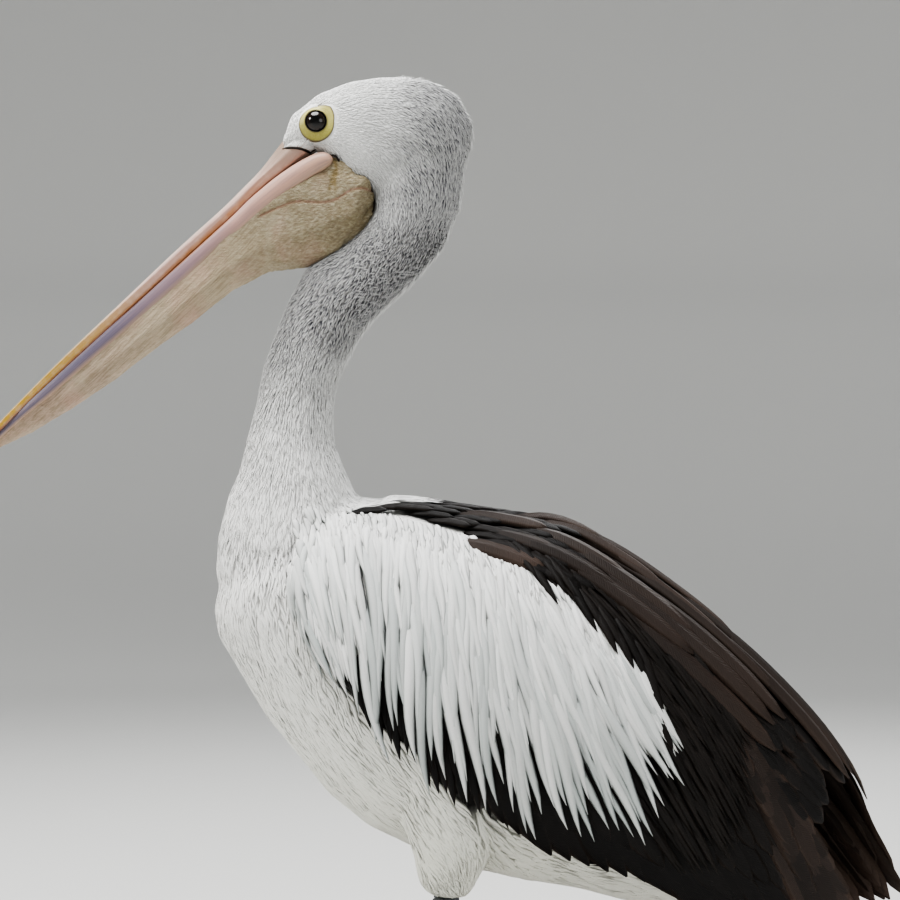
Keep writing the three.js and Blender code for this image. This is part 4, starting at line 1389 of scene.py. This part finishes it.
def upper_bill_finish():
    finish = Finish("horn_of_the_bill", Roughness=0.42)
    down, along = round_and_along(finish)
    lines = streaks(finish, 46, 9)
    down = finish.minus(down, finish.between(along, 0.35, 0.75, 0.24, 0.0))
    side = bands(finish, along, [
        (0.0, rgb(0.46, 0.26, 0.015)), (0.22, rgb(0.40, 0.25, 0.02)), (0.30, rgb(0.39, 0.235, 0.10)),
        (0.38, rgb(0.40, 0.25, 0.20)), (0.7, rgb(0.46, 0.30, 0.25)), (1.0, rgb(0.52, 0.35, 0.28))])
    top = finish.blend(finish.between(along, 0.20, 0.34), rgb(0.36, 0.29, 0.05), rgb(0.52, 0.40, 0.35))
    down = finish.plus(down, finish.between(lines, 0.3, 0.7, -0.02, 0.02))
    colour = finish.blend(finish.between(down, 0.10, 0.20), top, side)
    from_line = finish.math("ABSOLUTE", finish.minus(down, 0.16))
    dark_line = finish.math("LESS_THAN", from_line, 0.022)
    colour = finish.blend(finish.times(dark_line, 0.55), colour, rgb(0.20, 0.17, 0.20))
    edge = finish.times(finish.between(down, 0.43, 0.50), finish.between(along, 0.9, 0.5))
    colour = finish.blend(edge, colour, rgb(0.36, 0.14, 0.04))
    colour = finish.tint(colour, lines, 0.42, 0.62, rgb(0.34, 0.22, 0.20), 0.4)
    mottle = finish.noise(160, detail=6)
    colour = finish.tint(colour, mottle, 0.45, 0.7, rgb(0.60, 0.46, 0.37), 0.25)
    # Darker towards the base under the feathered edge: the bill's own brown-grey tint, with painted shade
    # where the bill meets the feathers.
    base = finish.times(finish.between(along, 0.72, 0.86), finish.between(down, 0.75, 0.35))
    colour = finish.blend(finish.times(base, 0.8), colour, rgb(0.22, 0.16, 0.115))
    rough = finish.between(mottle, 0.3, 0.7, 0.34, 0.52)
    return finish.shade(Base_Color=colour, Roughness=rough, Normal=finish.bump(lines, 0.35, 0.0006))


def jaw_finish():
    finish = Finish("jaw_skin", Roughness=0.45)
    down, along = round_and_along(finish)
    lines = streaks(finish, 30, 8)
    colour = bands(finish, along, [
        (0.0, rgb(0.30, 0.21, 0.05)), (0.12, rgb(0.12, 0.105, 0.14)), (0.34, rgb(0.115, 0.10, 0.15)),
        (0.5, rgb(0.24, 0.165, 0.19)), (0.65, rgb(0.44, 0.265, 0.225)), (1.0, rgb(0.50, 0.31, 0.22))])
    wavy = finish.plus(down, finish.between(lines, 0.3, 0.7, -0.05, 0.05))
    colour = finish.tint(colour, wavy, 0.55, 0.85, rgb(0.46, 0.31, 0.22))
    colour = finish.tint(colour, lines, 0.45, 0.65, rgb(0.26, 0.18, 0.19), 0.45)
    upper_edge = finish.times(finish.between(wavy, 0.22, 0.12), finish.between(along, 0.7, 0.5))
    colour = finish.blend(upper_edge, colour, rgb(0.34, 0.13, 0.04))
    pores = finish.noise(700, detail=3)
    height = finish.plus(lines, finish.times(pores, 0.4))
    return finish.shade(Base_Color=colour, Normal=finish.bump(height, 0.4, 0.0006))


def pouch_finish():
    finish = Finish("pouch_skin", Roughness=0.5)
    fold, brown, along = finish.parts("folds")
    along_bill = {"Vector": finish.place(), "Rotation": (0, -BILL_SLOPE, 0), "Scale": (16, 1, 1)}
    at = finish.add("Mapping", along_bill, vector_type="TEXTURE").outputs[0]
    lines = finish.add("TexNoise", {"Vector": at, "Scale": 760.0, "Detail": 4.0}).outputs["Fac"]
    colour = bands(finish, along, [
        (0.0, rgb(0.50, 0.31, 0.14)), (0.08, rgb(0.52, 0.36, 0.27)), (0.3, rgb(0.51, 0.39, 0.29)),
        (0.6, rgb(0.50, 0.40, 0.27)), (0.82, rgb(0.45, 0.38, 0.24)), (1.0, rgb(0.40, 0.34, 0.20))])
    colour = finish.tint(colour, lines, 0.42, 0.62, rgb(0.27, 0.20, 0.12), 0.75)
    blotch = finish.noise(34, detail=6)
    colour = finish.tint(colour, blotch, 0.42, 0.7, rgb(0.58, 0.50, 0.36), 0.4)
    ruddy = finish.noise(21, detail=3, stretch=(1.2, 1, 0.9))
    colour = finish.tint(colour, ruddy, 0.50, 0.70, rgb(0.60, 0.36, 0.28), 0.5)
    colour = finish.blend(brown, colour, rgb(0.25, 0.17, 0.05))
    colour = finish.blend(fold, colour, rgb(0.40, 0.17, 0.12))
    wrinkles = finish.noise(400, detail=4, stretch=(0.45, 1, 1.4), rough=0.65)
    grain = finish.noise(900, detail=3, rough=0.6)
    rear = finish.between(along, 0.62, 0.85)
    fine = finish.plus(finish.times(wrinkles, 5.0), finish.times(grain, 1.4))
    height = finish.plus(lines, finish.times(fine, finish.between(rear, 0, 1, 0.35, 1.0)))
    # Painted shade in the wrinkles' hollows and painted highlight on their ridges, stronger towards the
    # rear.
    shaded = finish.times(finish.between(wrinkles, 0.54, 0.38), finish.between(rear, 0, 1, 0.15, 0.6))
    colour = finish.blend(shaded, colour, rgb(0.26, 0.20, 0.10))
    wrinkle_highlight = finish.times(finish.between(wrinkles, 0.54, 0.68), finish.between(rear, 0, 1, 0.1, 0.5))
    colour = finish.blend(wrinkle_highlight, colour, rgb(0.64, 0.58, 0.42))
    return finish.shade(Base_Color=colour, Normal=finish.bump(height, 1.0, 0.0012))


def upper_bill_form(turn, share):
    """A rounded ridge along the top with a shallow groove on each side, and a squarer underside."""
    off = np.minimum(turn, 2 * math.pi - turn)
    ridge = 0.34 * np.exp(-((off / 0.30) ** 2)) - 0.20 * np.exp(-(((off - 0.62) / 0.22) ** 2))
    square = (np.cos(turn) ** 8 + np.sin(turn) ** 8) ** -0.125 - 1
    square *= (off > math.pi / 2) * np.interp(share, [0.8, 0.97], [1, 0])
    return 1 + ridge + square, 1 + square


def shape_pouch(mesh):
    """Presses soft furrows, loose folds and the creases of the gape into the pouch."""
    places = vertices_of(mesh)
    normals = numbers(mesh.vertex_normals, "vector", 3).astype(float)
    x, _, z = heights(places)
    ahead = -(x - POUCH_END[0]) * BILL_WAY[0] - (z - POUCH_END[1]) * BILL_WAY[1]
    below = distance_to(np.array(JAW)[:, :2], x, z)
    front = np.interp(ahead, [70, 150, 440, 470], [0.25, 1, 1, 0])
    rear = np.interp(ahead, [20, 60, 130], [0.8, 1, 0])
    furrows = 0.10 * np.sin(below * 1.05 + 1.3 * np.sin(ahead / 31))
    furrows += 0.14 * np.sin(below * 2.6 + ahead / 40)
    folds = 0.22 * np.sin(ahead * 1.25 + 2.0 * np.sin(below / 8)) + 0.20 * np.sin(below * 1.5 + ahead / 9)

    def crease(line, count, width):
        return np.exp(-((distance_to(curve_through(line, count), x, z) / width) ** 2))

    red = crease(RED_FOLD, 40, 1.3)
    brown = np.clip(sum(crease(line, 12, 1.9) for line in GAPE_FOLDS), 0, 1)
    swollen = np.interp(ahead, [0, 70, 140], [1.6, 1.2, 0.2]) * np.interp(z, [856, 868], [1, 0.1])
    pressed = front * furrows + rear * folds + swollen - 1.0 * red - 0.9 * brown
    move_vertices(mesh, places + normals * (pressed * MM)[:, None])
    paint(mesh, "folds", red * 0.7, brown * 0.95, np.clip(1 - ahead / 480, 0, 1))


def make_pouch_form():
    """The pouch and the bare cheeks above its rear end, in one piece of skin."""
    cheeks = loft("cheeks", CHEEKS, columns=48, rows=40, round_start=6, round_end=5)
    rear = loft("pouch_rear", POUCH_REAR, columns=32, rows=30, round_start=3, round_end=3)
    return fuse(joined("throat_pouch", [cheeks, rear, copy_nodes("pouch", ["pouch"])]), 1.3, 45)


def on_bill_base(points):
    """The rear end of the upper bill, which the feathers of the brow grow over."""
    x, y, z = heights(points)
    over = z > line_at(FACE_EDGE[:5], x)
    return (x > -166) & (x < -114) & over & (np.abs(y) > 1) & clear_of_eye(points)


def make_face_shadow_line(bill_surface):
    """A thin black strip where the bare face meets the feathers, on both sides: a painted shadow line."""
    share = np.linspace(0, 1, 60)
    widths = 1.3 * MM * np.interp(share, [0, 0.1, 0.85, 1], [0.3, 1, 1, 0.1])[None]
    runs = [(bill_surface, FACE_EDGE[:4], 9), (body_surface, FACE_EDGE[3:12], 26)]
    for side_name, side in SIDES.items():
        strips = []
        for surface, part, beyond in runs:
            x, z = curve_through(part, share).T
            places, normals, _ = onto(surface, from_side(surface, x, z, side, beyond))
            lines = (places + normals * 0.3 * MM)[None]
            mesh = vane_mesh("face_shadow_line", lines, normals[None], widths, SLIM_VANE, widths * 0.4, 0.3,
                             (np.ones(1), np.ones(1)), bake_place(places[:1]))
            strips.append(dress(add_object("face_shadow_line", mesh), black_vanes))
        joined("face_shadow_line_" + side_name, strips)
    small_feathers("brow_feathers", 1.5, on_bill_base, 0.1, 4, 0.0, 1.0, surface=bill_surface,
                   ridge=0.55, size=1.5, tone=0.1)


def make_bill():
    upper = loft("upper_bill", UPPER_BILL, columns=96, rows=240, form=upper_bill_form)
    bill_surface = surface_of(upper)
    dress(upper, upper_bill_finish())
    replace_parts(upper, "bill_upper")
    nail = loft("hooked_nail", NAIL, columns=48, rows=60, round_start=7)
    finish = Finish("nail_horn", Roughness=0.35)
    grain = finish.noise(120, detail=5, stretch=(1, 1, 0.3))
    colour = finish.blend(grain, rgb(0.60, 0.28, 0.03), rgb(0.72, 0.42, 0.08))
    finish.shade(Base_Color=colour, Normal=finish.bump(grain, 0.3, 0.0005))
    dress(nail, finish.material)
    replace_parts(nail, "bill_nail")
    branches = []
    for side in SIDES.values():
        stations = np.array(JAW, float)
        stations[:, 2] *= side
        branches.append(loft("jaw_branch", stations, columns=40, rows=200, round_start=4, round_end=9))
    jaw = dress(joined("jaw_branches", branches), jaw_finish())
    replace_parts(jaw, "bill_lower")
    pouch = make_pouch_form()
    shape_pouch(pouch.data)
    dress(pouch, pouch_finish())
    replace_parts(pouch, "pouch")
    make_face_shadow_line(bill_surface)


# ---- Eyes ----------------------------------------------------------------------------------------------

# Half the width of the opening between the lids, in mm.
LID_OPENING = 10.6


def from_eye(finish):
    """How far behind and how far above the middle of the eye a place is, in metres."""
    axes = finish.axes(finish.place())
    return finish.minus(axes[0], EYE["x"] * MM), finish.minus(axes[2], EYE["z"] * MM + SOLE_HEIGHT)


def eye_finish():
    finish = Finish("eye_gloss", Roughness=0.12, Specular_IOR_Level=0.25, Coat_Weight=0.35,
                    Coat_Roughness=0.02)
    x, z = from_eye(finish)
    apart = finish.math("SQRT", finish.plus(finish.times(x, x), finish.times(z, z)))
    rays = finish.noise(500, detail=3)
    brown = finish.blend(rays, rgb(0.006, 0.0035, 0.0025), rgb(0.016, 0.009, 0.005))
    colour = finish.blend(finish.between(apart, 5.4 * MM, 6.0 * MM), rgb(0.002, 0.002, 0.002), brown)
    colour = finish.tint(colour, apart, 8.6 * MM, 10.2 * MM, rgb(0.012, 0.016, 0.022))
    return finish.shade(Base_Color=colour)


def ring_finish():
    finish = Finish("bare_eye_ring", Roughness=0.45)
    out = finish.axes(finish.uv())[1]
    back, height = from_eye(finish)
    olive = finish.between(finish.minus(back, height), 14 * MM, -10 * MM)
    low = finish.between(height, 8 * MM, -16 * MM)
    colour = finish.blend(low, rgb(0.47, 0.43, 0.13), rgb(0.29, 0.27, 0.04))
    colour = finish.blend(finish.times(olive, low), colour, rgb(0.34, 0.31, 0.07))
    pores = finish.noise(900, detail=3)
    # Lighter where the pores' bumps stand up: painted highlight on the bare skin.
    colour = finish.tint(colour, pores, 0.45, 0.65, rgb(0.54, 0.49, 0.19), 0.35)
    colour = finish.tint(colour, out, 0.32, 0.17, rgb(0.035, 0.025, 0.018))
    colour = finish.tint(colour, out, 0.78, 0.92, rgb(0.11, 0.09, 0.045))
    return finish.shade(Base_Color=colour, Normal=finish.bump(pores, 0.35, 0.0004))


def make_eye(side_name, side, iris, bare):
    ball = primitive("eyeball_" + side_name, bpy.ops.mesh.primitive_uv_sphere_add, segments=64,
                     ring_count=40, radius=EYE["radius"] * MM)
    places = vertices_of(ball.data)[:, [0, 2, 1]]
    move_vertices(ball.data, places + spots(EYE["x"], EYE["z"], side * EYE["y"]))
    face_outward(ball)
    ball.data.shade_smooth()
    dress(ball, iris)
    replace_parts(ball, "eye_" + side_name)

    def ring(u, v):
        """The bare ring, from its fold against the ball at v = 0 out to the feathers at v = 1."""
        turn = u * 2 * math.pi
        reach = ring_reach(turn)
        across, up = np.cos(turn), np.sin(turn)
        outer = from_side(body_surface, EYE["x"] + across * reach, EYE["z"] + up * reach, side)
        level = outer[:, 1] / MM * side - 0.1
        lid = EYE["y"] + math.sqrt(EYE["radius"] ** 2 - LID_OPENING**2) + 1.3
        inward = np.interp(v, [0, 0.10, 0.2, 1], [-0.35, 0.0, 0.03, 1])
        radius = LID_OPENING + (reach - LID_OPENING) * np.clip(inward, 0, 1)
        share = np.clip((v - 0.16) / 0.84, 0, 1)
        y = lid + np.interp(v, [0, 0.08, 0.16], [-3.2, -0.3, 0]) + (level - lid) * share**1.2
        y = y + np.sin(math.pi * np.clip((v - 0.05) / 0.3, 0, 1)) * 0.8
        y = y + 0.10 * np.sin(share * 26) * (1 - share) + 0.12 * np.sin(turn * 23) * share * (1 - share)
        y = y - np.interp(v, [0.93, 1], [0, 1.6])
        return spots(EYE["x"] + across * radius, EYE["z"] + up * radius, side * y)

    lids = shaped_grid("eye_ring_" + side_name, 120, 40, ring, capped=False)
    apply_modifier(lids, "SOLIDIFY", thickness=0.8 * MM, offset=-1)
    lids.data.shade_smooth()
    dress(lids, bare)


# ---- Legs and stand -------------------------------------------------------------------------------------


def leg_finish():
    finish = Finish("scaled_leg_skin", Roughness=0.55)
    at = finish.add("Mapping", {"Vector": finish.place(), "Scale": (1, 1, 0.6)}).outputs[0]
    scales = finish.add("TexVoronoi", {"Vector": at, "Scale": 330.0}, feature="DISTANCE_TO_EDGE")
    gap = finish.between(scales.outputs["Distance"], 0.0, 0.12)
    tone = finish.noise(60, detail=5)
    colour = finish.blend(tone, rgb(0.045, 0.052, 0.058), rgb(0.10, 0.11, 0.118))
    colour = finish.blend(gap, rgb(0.022, 0.024, 0.027), colour)
    return finish.shade(Base_Color=colour, Normal=finish.bump(gap, 0.5, 0.0006))


def make_legs():
    skin_of_leg = leg_finish()
    horn = Finish("claw_horn", Roughness=0.35)
    grain = horn.noise(300, detail=4)
    horn.shade(Base_Color=horn.blend(grain, rgb(0.018, 0.016, 0.014), rgb(0.05, 0.044, 0.038)),
               Normal=horn.bump(grain, 0.3, 0.0003))
    for side_name in SIDES:
        nodes = ["shank_" + side_name, "foot_" + side_name]
        leg = fuse(copy_nodes("leg_" + side_name, nodes), 1.5, 9)
        dress(leg, skin_of_leg)
        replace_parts(leg, *nodes)
        claw_nodes = ["claw_%d_%s" % (number, side_name) for number in range(1, 5)]
        claws = fuse(copy_nodes("claws_" + side_name, claw_nodes), 0.5, 6)
        dress(claws, horn.material)
        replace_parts(claws, *claw_nodes)


def bevel(piece, chosen, width, segments):
    """Rounds the edges of a piece whose two ends are chosen(a, b)."""
    for edge in piece.data.edges:
        edge.select = chosen(*(piece.data.vertices[i].co for i in edge.vertices))
    bpy.ops.object.mode_set(mode="EDIT")
    bpy.ops.mesh.select_mode(type="EDGE")
    bpy.ops.mesh.bevel(offset=width * MM, segments=segments)
    bpy.ops.object.mode_set(mode="OBJECT")


def make_stand():
    low, high = (np.array(corner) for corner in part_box("stand_base"))
    board = primitive("stand_board", bpy.ops.mesh.primitive_cube_add, size=1)
    move_vertices(board.data, low + (vertices_of(board.data) + 0.5) * (high - low))
    with edit_mode(board, "DESELECT"):
        bpy.ops.mesh.select_mode(type="EDGE")
    bevel(board, lambda a, b: abs(a.z - b.z) > 5 * MM, 30, 10)
    bevel(board, lambda a, b: min(a.z, b.z) > high[2] - 0.1 * MM, 4, 4)
    face_outward(board)
    bpy.ops.object.shade_smooth_by_angle(angle=math.radians(35))
    finish = Finish("dark_wood", Roughness=0.4, Coat_Weight=0.3, Coat_Roughness=0.25)
    rings = finish.noise(9, detail=3, stretch=(0.5, 7, 7))
    fibres = finish.noise(60, detail=6, stretch=(0.25, 9, 9))
    grain = finish.math("SINE", finish.times(rings, 38.0))
    colour = finish.blend(finish.between(grain, -1, 1), rgb(0.045, 0.022, 0.012), rgb(0.11, 0.058, 0.032))
    colour = finish.tint(colour, fibres, 0.45, 0.7, rgb(0.03, 0.015, 0.009), 0.6)
    finish.shade(Base_Color=colour, Normal=finish.bump(fibres, 0.25, 0.0004))
    dress(board, finish.material)
    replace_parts(board, "stand_base")


# ---- Room, light and camera ---------------------------------------------------------------------------


def make_room():
    """A round floor that curves up into a wall far behind."""
    profile = [[0, 0], [3.2, 0], [4.2, 0.08], [5.0, 0.4], [5.5, 1.0], [5.7, 1.8], [5.75, 5.0]]

    def bowl(u, v):
        radius, height = curve_through(profile, v).T
        turn = u * 2 * math.pi
        return np.stack([radius * np.cos(turn), radius * np.sin(turn), np.maximum(height, 0)], -1)

    room = shaped_grid("floor", 96, 60, bowl, capped=False)
    with edit_mode(room):
        bpy.ops.mesh.flip_normals()
    finish = Finish("pale_floor", Roughness=0.9, Base_Color=rgb(0.60, 0.60, 0.585))
    room.data.materials.append(finish.material)
    room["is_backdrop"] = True


def add_light(name, place, size, power, tint=(1, 1, 1)):
    """A round lamp that points at the middle of the bird."""
    light = bpy.data.lights.new(name, "AREA")
    light.shape = "DISK"
    light.size = size
    light.energy = power
    light.color = tint
    lamp = add_object(name, light)
    lamp.location = place
    aim = Vector((0, 0, 0.5)) - Vector(place)
    lamp.rotation_euler = aim.to_track_quat("-Z", "Y").to_euler()


def add_camera():
    camera = bpy.data.cameras.new("camera")
    camera.lens = 100
    camera.sensor_width = 36
    piece = add_object("camera", camera)
    piece.location = (0, -2.5, 0.6 + SOLE_HEIGHT)
    piece.rotation_euler = (math.radians(90), 0, 0)
    bpy.context.scene.camera = piece


def light_room():
    bpy.context.scene.view_settings.look = "AgX - Medium High Contrast"
    world = bpy.context.scene.world or bpy.data.worlds.new("world")
    bpy.context.scene.world = world
    world.use_nodes = True
    sky = world.node_tree.nodes["Background"].inputs
    sky["Color"].default_value = rgb(0.80, 0.84, 0.90)
    sky["Strength"].default_value = 0.24
    add_light("overhead", (-0.5, -0.3, 3.2), 2.0, 165)
    add_light("key", (-3.0, -1.3, 2.4), 0.9, 78, (1.0, 0.98, 0.95))
    add_light("fill", (2.4, -2.4, 1.5), 2.0, 30)
    add_light("rim", (0.9, 2.3, 2.3), 1.6, 40)


make_bill()
iris, bare_ring = eye_finish(), ring_finish()
for side_name, side in SIDES.items():
    make_eye(side_name, side, iris, bare_ring)
make_legs()
small_feathers("rump_coverts", 7.2, on_rump, 2.2, 8, 0.2, 0.3, ridge=0.24, stray=0.07, turn=0.9)
small_feathers("upper_back_feathers", 7.0, between_shoulders, 2.0, 6, 0.1, 0.6, black_vanes,
               surface=wing_surface, lie=BACK_LIE, ridge=0.35, size=0.9, tone=0.3)
make_stand()
discard(body_form)
discard(wing_form)
make_room()
add_camera()
light_room()


def corners(box):
    return [[float(value) for value in corner] for corner in box]


{"cad": corners(cad_box), "visual": corners(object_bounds())}
